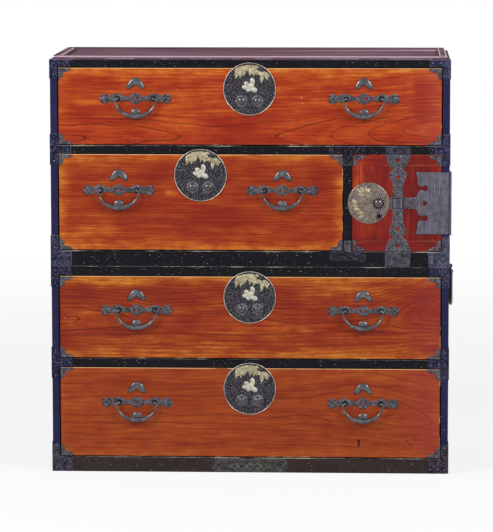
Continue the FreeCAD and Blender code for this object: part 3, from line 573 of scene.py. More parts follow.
@dataclass(frozen=True)
class ForgedMetal:
    """Iron or copper alloy, hammered and then punched or brushed.

    The eye sees a mottled patina, dark in the hollows, with fine punched
    grains or brush lines. Their pale points are painted glints, the light
    caught by the grains drawn into the colour. The polished bails and studs
    have a clear coat besides, whose highlight is small and sharp.
    """

    name: str
    base: str
    dark: str
    # Pale colour of the grains' tops: a painted glint
    glint: str
    rough: float = 0.42
    metallic: float = 0.8
    shine: float = 0.2
    coat: float = 0.0
    coat_rough: float = 0.07
    mottle_size: float = 16.0
    grain_size: float = 4.2
    grain_depth: float = 0.35
    glint_share: float = 0.5
    sparse: float = 0.0
    brushed: bool = False
    brush_lengths: Triple = (2.8, 2.8, 60.0)
    patches: tuple[Patch, ...] = ()

    def build(self) -> Material:
        """Make the material.

        Returns:
            The finished metal material.
        """
        material, tree, spot = new_tree(self.name)
        base: Any = linear(self.base)
        for patch in self.patches:
            near = stretched(tree, spot, (patch.half_width, ENDLESS, patch.half_height),
                             (patch.x, 0, patch.z))
            near = add_node(tree, "VectorMath", {0: near}, operation="ABSOLUTE").outputs[0]
            near = add_node(tree, "SeparateXYZ", {0: near})
            reach = add_node(tree, "Math", {0: near.outputs["X"], 1: near.outputs["Z"]}, operation="MAXIMUM")
            held = add_node(tree, "MapRange", {0: reach.outputs[0], 1: 1.0, 2: 0.96, 3: 0.0, 4: 1.0})
            base = blend_colours(tree, held.outputs[0], base, linear(patch.shade))
        mottles = add_node(tree, "TexNoise", {"Vector": stretched(tree, spot, (self.mottle_size,) * 3),
                                              "Scale": 1.0, "Detail": 4.0, "Roughness": 0.6})
        patina = add_node(tree, "MapRange", {0: mottles.outputs[0], 1: 0.36, 2: 0.6, 3: 0.85, 4: 0.0})
        colour = blend_colours(tree, patina.outputs[0], base, linear(self.dark))
        lengths = self.brush_lengths if self.brushed else (self.grain_size,) * 3
        grains = add_node(tree, "TexNoise", {"Vector": stretched(tree, spot, lengths), "Scale": 1.0,
                                             "Detail": 2.0, "Roughness": 0.6})
        # Painted glints: the grains' high points take the pale colour
        lit = add_node(tree, "MapRange", {0: grains.outputs[0], 1: 0.5 + self.sparse, 2: 0.68, 3: 0.0,
                                          4: self.glint_share})
        colour = blend_colours(tree, lit.outputs[0], colour, linear(self.glint))
        gloss = add_node(tree, "MapRange", {0: mottles.outputs[0], 1: 0.3, 2: 0.7, 3: self.rough - 0.08,
                                            4: self.rough + 0.12})
        close_material(tree, {"Base Color": colour, "Roughness": gloss.outputs[0], "Metallic": self.metallic,
                              "Specular IOR Level": self.shine, "Coat Weight": self.coat,
                              "Coat Roughness": self.coat_rough}, grains.outputs[0], self.grain_depth)
        return material


@dataclass(frozen=True)
class PlainWood:
    """Unlacquered paulownia of the drawer boxes and backs.

    The eye sees pale, dry, straight-grained wood with soft grey-brown lines.
    """

    name: str
    lengths: Triple
    light: str = "#c6aa83"
    dark: str = "#a68a64"

    def build(self) -> Material:
        """Make the material.

        Returns:
            The finished wood material.
        """
        material, tree, spot = new_tree(self.name)
        lines = add_node(tree, "TexNoise", {"Vector": stretched(tree, spot, self.lengths), "Scale": 1.0,
                                            "Detail": 4.0, "Roughness": 0.6})
        share = add_node(tree, "MapRange", {0: lines.outputs[0], 1: 0.35, 2: 0.65, 3: 0.0, 4: 1.0})
        colour = blend_colours(tree, share.outputs[0], linear(self.dark), linear(self.light))
        close_material(tree, {"Base Color": colour, "Roughness": 0.7}, lines.outputs[0], 0.3)
        return material


@dataclass(frozen=True)
class Finishes:
    """Every finish of the chest, made once and shared by its pieces."""

    fronts: dict[str, Material]
    door: Material
    cleat: Material
    rail: Material
    stile: Material
    flank: Material
    base_rail: Material
    top: Material
    front_edge: Material
    door_edge: Material
    frame_edge: Material
    dull_edge: Material
    iron_edge: Material
    plate_edge: Material
    top_edge: Material
    plain: Material
    case_iron: Material
    nail: Material
    front_iron: Material
    pull_iron: Material
    bail_iron: Material
    ground: Material
    stud: Material
    stud_base: Material
    shadow_iron: Material
    rim: Material
    leaf: Material
    blossom: Material
    strap: Material
    hinge: Material
    door_lock: Material
    base_plate: Material
    base_relief: Material


# The plates of the cases have aged apart: those at the right are paler, and
# the ones at the lower case's corners are browner.
CASE_PATCHES = (
    Patch(-540, 1128, 14, 36, "#292d4e"), Patch(540, 1128, 14, 36, "#3c405f"),
    Patch(-540, 902, 14, 52, "#252442"), Patch(540, 902, 14, 52, "#343754"),
    Patch(-540, 618, 14, 42, "#34344f"), Patch(540, 618, 14, 42, "#525364"),
    Patch(-540, 548, 14, 29, "#262543"), Patch(540, 548, 14, 29, "#3a374f"),
    Patch(-540, 307, 14, 44, "#262140"), Patch(540, 307, 14, 44, "#2e2b47"),
    Patch(-520, 38, 34, 40, "#45404b"), Patch(520, 38, 34, 40, "#3a333a"),
    Patch(-505, 600, 21, 24, "#424454"), Patch(505, 600, 21, 24, "#4f4f5f"),
    Patch(270, 902, 80, 12, "#1f1b20"), Patch(270, 876, 13, 16, "#221f24"),
    Patch(270, 599, 80, 22, "#2d292e"), Patch(270, 636, 10, 16, "#565257"),
    Patch(410, 902, 40, 12, "#44404a"), Patch(410, 599, 38, 22, "#514e55"),
)


def front_woods() -> dict[str, LacqueredElm]:
    """Wood of the four drawer fronts, whose hearts, pale places and marks differ.

    Returns:
        The finishes by the drawer's number, not built yet.
    """
    return {
        "one": LacqueredElm(
            "zelkova_red_lacquer_one", Grain.ACROSS, (0, 1021), (528, 106.5),
            tones=("#86220f", "#942c14", "#a53b18", "#b24c1c", "#bf6022", "#cf8430"), top_gold=0.10,
            bottom_gold=-0.02, side_gold=0.04, seed=11.0, heart_line=937.0, heart_depth=77.6, blush=0.35,
            hearts=(Heart(560, 530, 34, 22), Heart(-500, 380, 10)),
            glows=(Glow(-440, 1031, 45, 9, 0.12), Glow(-455, 1003, 60, 30, -0.06),
                   Glow(-410, 1086, 55, 18, -0.05), Glow(-200, 1015, 45, 55, 0.03),
                   Glow(-20, 957, 110, 38, -0.06), Glow(472, 1040, 30, 60, -0.06),
                   Glow(443, 1075, 12, 40, 0.05), Glow(180, 1055, 110, 40, 0.01)),
            marks=(Mark(-311, 929, 27, 8.5, "#571708", True), Mark(-306, 929, 11, 4, "#571708", True),
                   Mark(142, 1046, 2.6, 2.0, "#d8a488"), Mark(145, 1031, 2.2, 1.8, "#d8a488"))),
        "two": LacqueredElm(
            "zelkova_red_lacquer_two", Grain.ACROSS, (-135, 756), (393, 133.5),
            tones=("#7e1f10", "#8a2914", "#973516", "#a54419", "#b75c22", "#cc7f2d"), top_gold=0.08,
            bottom_gold=0.11, side_gold=0.09, seed=37.0, heart_line=560.0, heart_depth=90.0,
            ring_spacing=5.2, ring_strength=0.45, far_strength=0.45, line_width=2.0,
            glows=(Glow(-440, 668, 90, 36, 0.06), Glow(-420, 862, 110, 20, 0.05),
                   Glow(-95, 712, 120, 34, -0.05), Glow(195, 815, 38, 40, -0.05),
                   Glow(-330, 745, 110, 30, -0.04), Glow(-217, 782, 22, 10, 0.10),
                   Glow(20, 683, 60, 10, 0.07), Glow(-250, 835, 60, 26, -0.04))),
        "three": LacqueredElm(
            "zelkova_red_lacquer_three", Grain.ACROSS, (0, 435), (528, 115),
            tones=("#761f14", "#832816", "#903517", "#9f461a", "#b25e22", "#c97f2c"), top_gold=0.09,
            bottom_gold=0.08, side_gold=-0.02, seed=71.0, heart_line=412.0, heart_depth=79.0, blush=0.3,
            hearts=(Heart(600, 300, 34, 60), Heart(-640, 500, 16, 22), Heart(-60, 220, 4)), far_strength=0.5,
            ring_spacing=7.0,
            glows=(Glow(-380, 533, 140, 12, 0.07), Glow(255, 508, 120, 28, 0.05),
                   Glow(-470, 498, 60, 30, -0.05), Glow(-220, 500, 90, 28, -0.05),
                   Glow(95, 488, 45, 40, -0.04), Glow(480, 470, 55, 60, -0.07),
                   Glow(-260, 348, 230, 22, 0.05), Glow(230, 346, 200, 18, 0.04),
                   Glow(115, 410, 90, 22, 0.03)),
            marks=(Mark(-515, 432, 3.0, 1.6, "#b98d78"), Mark(-498, 420, 2.0, 1.4, "#b98d78"))),
        "four": LacqueredElm(
            "zelkova_red_lacquer_four", Grain.ACROSS, (0, 169), (528, 125.5),
            tones=("#7d2813", "#883216", "#943c19", "#9e471c", "#aa5621", "#bd702b"), top_gold=0.02,
            bottom_gold=0.06, side_gold=0.03, seed=93.0, heart_line=186.0, heart_depth=81.0, blush=0.35,
            hearts=(Heart(340, 200, 15), Heart(600, 340, 3, -44)), ring_strength=0.8, far_strength=0.3,
            glows=(Glow(-170, 215, 90, 24, -0.03), Glow(120, 235, 120, 24, -0.02),
                   Glow(-400, 110, 100, 20, 0.03), Glow(470, 96, 50, 40, -0.03)),
            marks=(Mark(303, 84, 4.2, 12), Mark(303, 92, 6.2, 4.5), Mark(437, 93, 4.5, 2.0, "#571708"),
                   Mark(461, 95, 9, 1.8, "#571708"), Mark(446, 82, 6, 1.7, "#571708"))),
    }


def make_finishes() -> Finishes:
    """Make the finishes of the chest.

    Returns:
        All finishes, each a material.
    """
    door_tones = ("#5d1216", "#6e1817", "#7e2018", "#8f2b1a", "#a33f1e", "#b85a26")
    door_glows = (Glow(300, 800, 24, 70, 0.09), Glow(312, 680, 30, 24, 0.05),
                  Glow(480, 756, 60, 150, -0.06), Glow(340, 640, 90, 22, -0.05),
                  Glow(440, 830, 25, 60, -0.02))
    others: dict[str, Any] = dict(
        door=LacqueredElm("zelkova_red_lacquer_door", Grain.UPRIGHT, (405, 756), (123, 104.5),
                          tones=door_tones, top_gold=0.0, bottom_gold=0.0, seed=5.0, heart_line=300.0,
                          heart_depth=50.0, ring_spacing=5.0, ring_strength=0.35, far_strength=0.35,
                          line_width=1.6, glows=door_glows),
        cleat=LacqueredElm("zelkova_red_lacquer_cleat", Grain.ACROSS, (405, 756), (123, 133.5),
                           tones=door_tones, top_gold=0.0, bottom_gold=0.0, seed=17.0, heart_line=500.0,
                           heart_depth=150.0, ring_strength=0.2, far_strength=0.2, glows=door_glows),
        rail=BlackLacquer("black_lacquer_rail", "#08070a", "#16151d", chipped=0.665),
        stile=BlackLacquer("black_lacquer_stile", "#17163a", "#2a2950", chipped=0.69),
        flank=BlackLacquer("black_lacquer_flank", "#131227", "#1f1e35", chipped=0.74),
        base_rail=BlackLacquer("black_lacquer_base_rail", "#251d1e", "#3c322f", rough=0.5, chipped=0.66),
        # The top has no specular reflection; its pale smears are partly scuffs and partly painted sheen.
        top=BlackLacquer("maroon_lacquer_top", "#6b4c5f", "#866474", speck="#b09aa2", rough=0.6,
                         shine=0.0, chipped=0.72, scuff_and_sheen=0.5),
        # Arrises: pale where worn, and paler where they look up as a painted highlight. The drawer fronts' dark
        # brown arrises and the iron plates' dark walls are painted shade at the edges.
        front_edge=WornAndLitEdge("rubbed_edge_front", "#dfae78", "#3c170d", 0.2, 0.5),
        door_edge=WornAndLitEdge("rubbed_edge_door", "#b8683c", "#4f160e", 0.1, 0.3),
        frame_edge=WornAndLitEdge("rubbed_edge_frame", "#b9aca0", "#0b0a0d", -0.1, 0.3),
        dull_edge=WornAndLitEdge("dull_edge_frame", "#9a8f8c", "#0b0a0d", -0.1, 0.1),
        iron_edge=WornAndLitEdge("rubbed_edge_iron", "#7c7d94", "#262538", 0.45, 0.25),
        plate_edge=WornAndLitEdge("rubbed_edge_plate", "#77757f", "#1f1c21", 0.1, 0.35),
        top_edge=WornAndLitEdge("rubbed_edge_top", "#b8a2ad", "#744659", 0.40, 0.35),
        plain=PlainWood("paulownia_plain", (420, 420, 4)),
        case_iron=ForgedMetal("iron_corner_mount", "#2a2942", "#161525", "#83849c", grain_size=3.6,
                              sparse=0.08, patches=CASE_PATCHES),
        nail=ForgedMetal("iron_nail_head", "#77768a", "#4a4958", "#b5b3c2"),
        front_iron=ForgedMetal("iron_front_corner", "#55535c", "#2f2a31", "#a19fa6",
                               grain_size=3.6, sparse=0.05),
        pull_iron=ForgedMetal("iron_pull_plate", "#56545a", "#2f2d33", "#a3a1a7", grain_size=3.2,
                              glint_share=0.6, sparse=0.04),
        bail_iron=ForgedMetal("iron_polished_bail", "#545358", "#353439", "#8e8d92", rough=0.25, shine=0.5,
                              metallic=0.7, grain_size=14.0, grain_depth=0.06, glint_share=0.3,
                              coat=0.5),
        ground=ForgedMetal("iron_lock_ground", "#323036", "#1b1a1f", "#9b99a1", grain_size=2.8,
                           grain_depth=0.5, glint_share=0.85, sparse=0.05),
        stud=ForgedMetal("iron_polished_stud", "#2b1f21", "#1a1113", "#453a3c", rough=0.11, shine=0.8,
                         metallic=0.4, grain_size=12.0, grain_depth=0.03, glint_share=0.3, coat=1.0),
        stud_base=ForgedMetal("iron_stud_base", "#5d5a61", "#2c2a2f", "#a3a1a7", grain_size=3.0,
                              glint_share=0.6),
        # Near-black iron: painted shade round the pulls' eyes, in the door keyhole's bore and between the door
        # block's bars, and the colour of the pulls' small bosses and the door stud's base
        shadow_iron=ForgedMetal("iron_blackened", "#1c1b20", "#111014", "#3a393e"),
        rim=ForgedMetal("brass_pale_rim", "#c9bdae", "#8d8272", "#e6ddcd", rough=0.35),
        leaf=ForgedMetal("brass_pale_leaf", "#a89e7e", "#7d7354", "#e2dbc0", rough=0.5,
                         metallic=0.3, grain_size=5.0, grain_depth=0.25, glint_share=0.7),
        blossom=ForgedMetal("silvered_blossom", "#bfbead", "#94918a", "#eceadc", rough=0.42,
                            metallic=0.3, grain_size=6.0, grain_depth=0.15),
        strap=ForgedMetal("iron_door_strap", "#4c4850", "#2b282e", "#97949c", grain_size=3.0,
                          grain_depth=0.5, glint_share=0.8, sparse=0.01),
        hinge=ForgedMetal("iron_brushed_hinge", "#625f6b", "#4a4854", "#8b8893", rough=0.46,
                          brushed=True),
        door_lock=ForgedMetal("bronze_door_lock", "#7a6f66", "#574d46", "#a99f94", rough=0.4,
                              glint_share=0.6),
        base_plate=ForgedMetal("iron_base_plate", "#3c3a3a", "#262425", "#7c7973"),
        base_relief=ForgedMetal("iron_base_relief", "#6d6b68", "#45433f", "#9a978f"),
    )
    return Finishes(fronts={number: wood.build() for number, wood in front_woods().items()},
                    **{name: finish.build() for name, finish in others.items()})


def place_points(points: np.ndarray, spot: Triple) -> np.ndarray:
    """Move points that are about a piece's own origin to their place, in metres.

    Args:
        points: array whose last axis is X, Y and Z in millimetres.
        spot: the place of the piece's origin, in millimetres.

    Returns:
        The points in the frame's metres.
    """
    return (points + np.array(spot)) * METRES


def grid_mesh(rings: np.ndarray, capped: bool = True) -> Mesh:
    """Mesh of closed rings carried from one end to the other.

    Ring i and ring i + 1 are joined by quads, and a capped end is one face.

    Args:
        rings: array of rings by points by three, in metres.
        capped: whether a face closes the first ring, and another the last.

    Returns:
        A mesh whose faces point outwards.
    """
    count, sides = rings.shape[:2]
    here = np.arange(count * sides).reshape(count, sides)
    beside = np.roll(here, -1, axis=1)
    quads = np.stack([here[:-1], beside[:-1], beside[1:], here[1:]], axis=-1).reshape(-1, 4).tolist()
    if capped:
        quads += [here[0].tolist(), here[-1].tolist()]
    mesh = bpy.data.meshes.new("surface")
    mesh.from_pydata(rings.reshape(-1, 3).tolist(), [], quads)
    return tidy_mesh(mesh)


def tidy_mesh(mesh: Mesh) -> Mesh:
    """Merge doubles, point the faces outwards and shade the mesh.

    Args:
        mesh: mesh to tidy.

    Returns:
        The same mesh.
    """
    work = bmesh.new()
    work.from_mesh(mesh)
    bmesh.ops.remove_doubles(work, verts=work.verts, dist=PIECE_WELD)
    bmesh.ops.recalc_face_normals(work, faces=work.faces)
    work.to_mesh(mesh)
    work.free()
    return shaded(mesh)


def shaded(mesh: Mesh) -> Mesh:
    """Shade a mesh smooth, apart from its sharp edges.

    Args:
        mesh: mesh to shade.

    Returns:
        The same mesh.
    """
    mesh.polygons.foreach_set("use_smooth", np.ones(len(mesh.polygons), dtype=bool))
    mesh.set_sharp_from_angle(angle=SMOOTH_ANGLE)
    return mesh


def joined(meshes: list[Mesh]) -> Mesh:
    """Put several meshes into one and drop the single ones.

    Args:
        meshes: meshes that share one finish.

    Returns:
        One mesh with the shells of all of them.
    """
    work = bmesh.new()
    for mesh in meshes:
        work.from_mesh(mesh)
        bpy.data.meshes.remove(mesh)
    whole = bpy.data.meshes.new("shells")
    work.to_mesh(whole)
    work.free()
    return shaded(whole)


def read_rows(items: bpy.types.bpy_prop_collection, key: str) -> np.ndarray:
    """Read one vector of each vertex or face of a mesh.

    Args:
        items: the mesh's vertices or polygons.
        key: the vector's name.

    Returns:
        The vectors as an array of rows by three.
    """
    rows = np.empty(len(items) * 3)
    items.foreach_get(key, rows)
    return rows.reshape(-1, 3)


def full_turn(count: int) -> np.ndarray:
    """Angles of points spread evenly round a circle.

    Args:
        count: number of points.

    Returns:
        The angles, from zero to one step short of a full turn.
    """
    return np.linspace(0, 2 * np.pi, count, endpoint=False)


def flat_loop(left: float, right: float, half_height: float) -> np.ndarray:
    """Rectangle as an outline that reaches equally far up and down.

    Args:
        left: its left edge.
        right: its right edge.
        half_height: half its height.

    Returns:
        The outline as an array of four corners by two.
    """
    return np.array([(left, -half_height), (right, -half_height), (right, half_height), (left, half_height)])


def smooth_loop(corners: np.ndarray, steps: int) -> np.ndarray:
    """Closed outline through given corners.

    Each span is a Catmull-Rom cubic through its two ends, whose slopes come
    from the corners on either side. A corner given twice stays sharp.

    Args:
        corners: array of corners by two.
        steps: points on each span.

    Returns:
        The outline as an array of points by two.
    """
    before, start = np.roll(corners, 1, axis=0), corners
    end, after = np.roll(corners, -1, axis=0), np.roll(corners, -2, axis=0)
    share = np.linspace(0, 1, steps, endpoint=False)[None, :, None]
    before, start, end, after = (points[:, None, :] for points in (before, start, end, after))
    curve = 0.5 * (2 * start + (end - before) * share
                   + (2 * before - 5 * start + 4 * end - after) * share ** 2
                   + (3 * start - before - 3 * end + after) * share ** 3)
    points = curve.reshape(-1, 2)
    moved = np.linalg.norm(points - np.roll(points, 1, axis=0), axis=1)
    return points[moved > 1e-4]


def mirrored(half: Sequence[tuple[float, float]]) -> np.ndarray:
    """Whole outline from its right half, given from the top to the bottom.

    Args:
        half: corners of the right half.

    Returns:
        The corners of both halves, clockwise from the top.
    """
    right = np.array(half, dtype=float)
    left = right[::-1] * np.array([-1.0, 1.0])
    left = left[np.abs(left[:, 0]) > 1e-6]
    return np.concatenate([right, left])


def round_loop(centre: tuple[float, float], radius: float, sides: int) -> np.ndarray:
    """Circle as an outline.

    Args:
        centre: its middle in X and Z.
        radius: its radius.
        sides: number of points.

    Returns:
        The outline as an array of points by two.
    """
    angle = full_turn(sides)
    return np.stack([centre[0] + radius * np.cos(angle), centre[1] + radius * np.sin(angle)], axis=-1)


def heart_loop(centre: tuple[float, float], width: float, up: float) -> np.ndarray:
    """Small heart, the common pierced mark of such irons.

    The point at angle t is sin(t) cubed across, and four cosines of t and its
    multiples up.

    Args:
        centre: its middle in X and Z.
        width: its whole width.
        up: one for a point that hangs down, minus one for a point that stands up.

    Returns:
        The outline as an array of points by two.
    """
    angle = full_turn(20)
    across = np.sin(angle) ** 3
    high = (13 * np.cos(angle) - 5 * np.cos(2 * angle) - 2 * np.cos(3 * angle) - np.cos(4 * angle)) / 16
    return np.stack([centre[0] + across * width / 2, centre[1] + up * high * width / 2], axis=-1)


def cut_plate(outline: np.ndarray, holes: list[np.ndarray], thickness: float,
              spot: Triple, edge: float = 0.3) -> Mesh:
    """Flat plate with rounded arrises and pierced holes, facing the front.

    The plate is the region between its outline and its holes, carried along
    the thickness.

    Args:
        outline: outer outline in X and Z.
        holes: outlines of the holes.
        thickness: the plate's thickness.
        spot: where the outline's origin lies, on the plate's back.
        edge: width of the rounded arris.

    Returns:
        The plate's mesh.
    """
    flat = bpy.data.curves.new("plate", "CURVE")
    flat.dimensions = "2D"
    flat.fill_mode = "BOTH"
    flat.extrude = (thickness / 2 - edge) * METRES
    flat.bevel_depth = edge * METRES
    flat.bevel_resolution = 1
    flat.offset = -edge * METRES
    for loop, turning in [(outline, 1.0)] + [(hole, -1.0) for hole in holes]:
        ahead = np.roll(loop, -1, axis=0)
        swept = np.sum(loop[:, 0] * ahead[:, 1] - ahead[:, 0] * loop[:, 1])
        loop = loop if swept * turning > 0 else loop[::-1]
        spline = flat.splines.new("POLY")
        spline.points.add(len(loop) - 1)
        rows = np.zeros((len(loop), 4))
        rows[:, :2] = loop * METRES
        rows[:, 3] = 1
        spline.points.foreach_set("co", rows.ravel())
        spline.use_cyclic_u = True
    holder = bpy.data.objects.new("plate", flat)
    mesh = bpy.data.meshes.new_from_object(holder)
    bpy.data.objects.remove(holder)
    bpy.data.curves.remove(flat)
    local = read_rows(mesh.vertices, "co")
    turned = np.stack([local[:, 0], -local[:, 2] - thickness / 2 * METRES, local[:, 1]], axis=-1)
    turned += np.array(spot) * METRES
    mesh.vertices.foreach_set("co", turned.ravel())
    return tidy_mesh(mesh)


def edged(mesh: Mesh, finish: Material, edge: Material) -> Mesh:
    """Give the arrises and walls of a flat plate a finish of their own.

    Args:
        mesh: the plate, facing the front.
        finish: material of its flat faces.
        edge: material of its arrises and walls.

    Returns:
        The same mesh.
    """
    slanted = np.abs(read_rows(mesh.polygons, "normal")[:, 1]) < 0.97
    mesh.materials.append(finish)
    mesh.materials.append(edge)
    mesh.polygons.foreach_set("material_index", slanted.astype(np.int32))
    return mesh


def turned_form(profile: Sequence[tuple[float, float]], spot: Triple, sides: int,
                petals: int = 0, wave: float = 0.0) -> Mesh:
    """Round form that rises to the front, with petals where it has them.

    The point at profile (r, h) and angle t lies r times (1 + wave times the
    cosine of petals times t) from the axis, and h in front of its foot.

    Args:
        profile: radius and height pairs from the foot's edge to the top.
        spot: the middle of the foot.
        sides: points round the form.
        petals: number of petals.
        wave: depth of the petals as a share of the radius.

    Returns:
        The form's mesh.
    """
    radius, height = np.array(profile, dtype=float).T
    angle = full_turn(sides)
    reach = radius[:, None] * (1 + wave * np.cos(petals * angle))[None, :]
    points = np.stack([reach * np.cos(angle), np.broadcast_to(-height[:, None], reach.shape),
                       reach * np.sin(angle)], axis=-1)
    return grid_mesh(place_points(points, spot))


def dome_profile(radius: float, height: float, rings: int) -> list[tuple[float, float]]:
    """Radius and height pairs of a rounded cap: quarter of an ellipse.

    Args:
        radius: the foot's radius.
        height: how far it rises.
        rings: number of rings.

    Returns:
        The pairs, from the foot's edge to just off the top.
    """
    angle = np.linspace(0, np.pi / 2 * DOME_END, rings)
    return [(radius * np.cos(turn), height * np.sin(turn)) for turn in angle]


def new_piece(name: str, mesh: Mesh, finish: Material, body: str,
              replaced: tuple[str, ...] = ()) -> bpy.types.Object:
    """Put a mesh into the scene as a piece that rides on a body.

    Args:
        name: the piece's name.
        mesh: its mesh, already in place.
        finish: its material.
        body: the body that carries it.
        replaced: nodes that it stands for.

    Returns:
        The piece.
    """
    mesh.name = name
    piece = bpy.data.objects.new(name, mesh)
    bpy.context.scene.collection.objects.link(piece)
    if not mesh.materials:
        mesh.materials.append(finish)
    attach(piece, body)
    if replaced:
        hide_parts(*replaced)
    LOG.info("%s: %d faces on %s", name, len(mesh.polygons), body)
    return piece


def eased_board(node: str, finish: Material, edge: Material, body: str,
                width: float,
                sides: Material | None = None, reveal: float = 0.0,
                slab: tuple[str, float, float] | None = None) -> bpy.types.Object:
    """Copy of a wooden node whose arrises are eased and rubbed.

    Args:
        node: the node that the board stands for.
        finish: the material of its faces.
        edge: the material of its eased arrises.
        body: the body that carries it.
        width: width of the eased arris.
        sides: material of the faces that don't look to the front, if another.
        reveal: how far each side is drawn in, so that the gap shows.
        slab: a name and two heights, where only that board of the node is
            wanted.

    Returns:
        The board.
    """
    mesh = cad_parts[node].data.copy()
    name = f"{node}_eased" if slab is None else f"{node}_{slab[0]}"
    work = bmesh.new()
    work.from_mesh(mesh)
    if slab is not None:
        low, high = slab[1] * METRES, slab[2] * METRES
        nudge = 1e-5
        loose = []
        for face in work.faces:
            height = face.calc_center_median().z - nudge * face.normal.z
            if not low < height < high:
                loose.append(face)
        bmesh.ops.delete(work, geom=loose, context="FACES")
    bmesh.ops.remove_doubles(work, verts=work.verts, dist=NODE_WELD)
    bmesh.ops.dissolve_limit(work, angle_limit=np.radians(1), verts=work.verts, edges=work.edges)
    work.to_mesh(mesh)
    work.free()
    if reveal:
        points = read_rows(mesh.vertices, "co")
        middle = (points.min(axis=0) + points.max(axis=0)) / 2
        half = (points.max(axis=0) - points.min(axis=0)) / 2
        drawn = 1 - np.array([reveal, 0, reveal]) * METRES / half
        mesh.vertices.foreach_set("co", (middle + (points - middle) * drawn).ravel())
    aside = read_rows(mesh.polygons, "normal")[:, 1] > -0.5
    mesh.materials.clear()
    for material in (finish, edge, sides or finish):
        mesh.materials.append(material)
    mesh.polygons.foreach_set("material_index", np.where(aside, 2, 0).astype(np.int32))
    board = new_piece(name, mesh, finish, body, (node,))
    bevel = board.modifiers.new("eased arris", "BEVEL")
    bevel.width = width * METRES
    bevel.segments = 2
    bevel.limit_method = "ANGLE"
    bevel.angle_limit = np.radians(40)
    bevel.material = 1
    return board


def dress_node(node: str, finish: Material) -> None:
    """Give a node that stays in view its finish.

    Args:
        node: the node's name.
        finish: its material.
    """
    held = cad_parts[node]
    held.data.materials.clear()
    held.data.materials.append(finish)


@dataclass
class Carcass:
    """Boards of both cases and the raised frame on the top."""

    finishes: Finishes
    eased: float = 1.5
    top_eased: float = 3.0
    film_inset: float = 1.5
    film_thick: float = 0.4

    def build(self) -> None:
        """Ease and dress every board of the two cases."""
        look = self.finishes
        for case, body in CASES.items():
            for side in ("left", "right"):
                eased_board(f"{case}_side_{side}", look.stile, look.dull_edge, body, self.eased,
                            sides=look.flank)
            eased_board(f"{case}_shelf", look.rail, look.frame_edge, body, self.eased)
            rail = look.base_rail if case == "lower" else look.rail
            eased_board(f"{case}_base_rail", rail, look.frame_edge, body, self.eased)
            dress_node(f"{case}_back_board", look.plain)
            dress_node(f"{case}_base_board", look.plain)
        eased_board("lower_top_board", look.rail, look.frame_edge, "lower_case", self.eased)
        eased_board("upper_top_board", look.rail, look.dull_edge, "upper_case", self.eased)
        eased_board("upper_partition", look.rail, look.dull_edge, "upper_case", self.eased)
        eased_board("upper_lip", look.top, look.top_edge, "upper_case", self.top_eased)
        self.add_top_skin()

    def add_top_skin(self) -> None:
        """Maroon lacquer film on the top of the upper case, 0.4 mm thick.

        A flat sheet over the whole top, whose four sides are set back so that
        the film lies between the arrises.
        """
        _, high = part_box("upper_side_left")
        top = high[2] / METRES
        reach_x = CASE_HALF_WIDTH - self.film_inset
        corners = flat_loop(-reach_x, reach_x, -FRONT_FACE - self.film_inset)
        rings = np.stack([np.column_stack([corners, np.full(4, level)])
                          for level in (top, top + self.film_thick)])
        mesh = grid_mesh(rings * METRES)
        new_piece("upper_top_film", mesh, self.finishes.top, "upper_case")


@dataclass
class Nails:
    """Small domed nails that hold the irons."""

    radius: float = 1.8
    height: float = 1.2
    sides: int = 8

    def build(self, name: str, spots: list[tuple[float, float]], face: float,
              finish: Material, body: str) -> None:
        """Put a nail at each spot of a face that looks to the front.

        Args:
            name: the name of the piece that holds the nails.
            spots: X and Z of each nail.
            face: Y of the face that they stand on.
            finish: their material.
            body: the body that carries them.
        """
        profile = dome_profile(self.radius, self.height, rings=4)
        heads = [turned_form(profile, (x, face, z), self.sides) for x, z in spots]
        new_piece(name, joined(heads), finish, body)


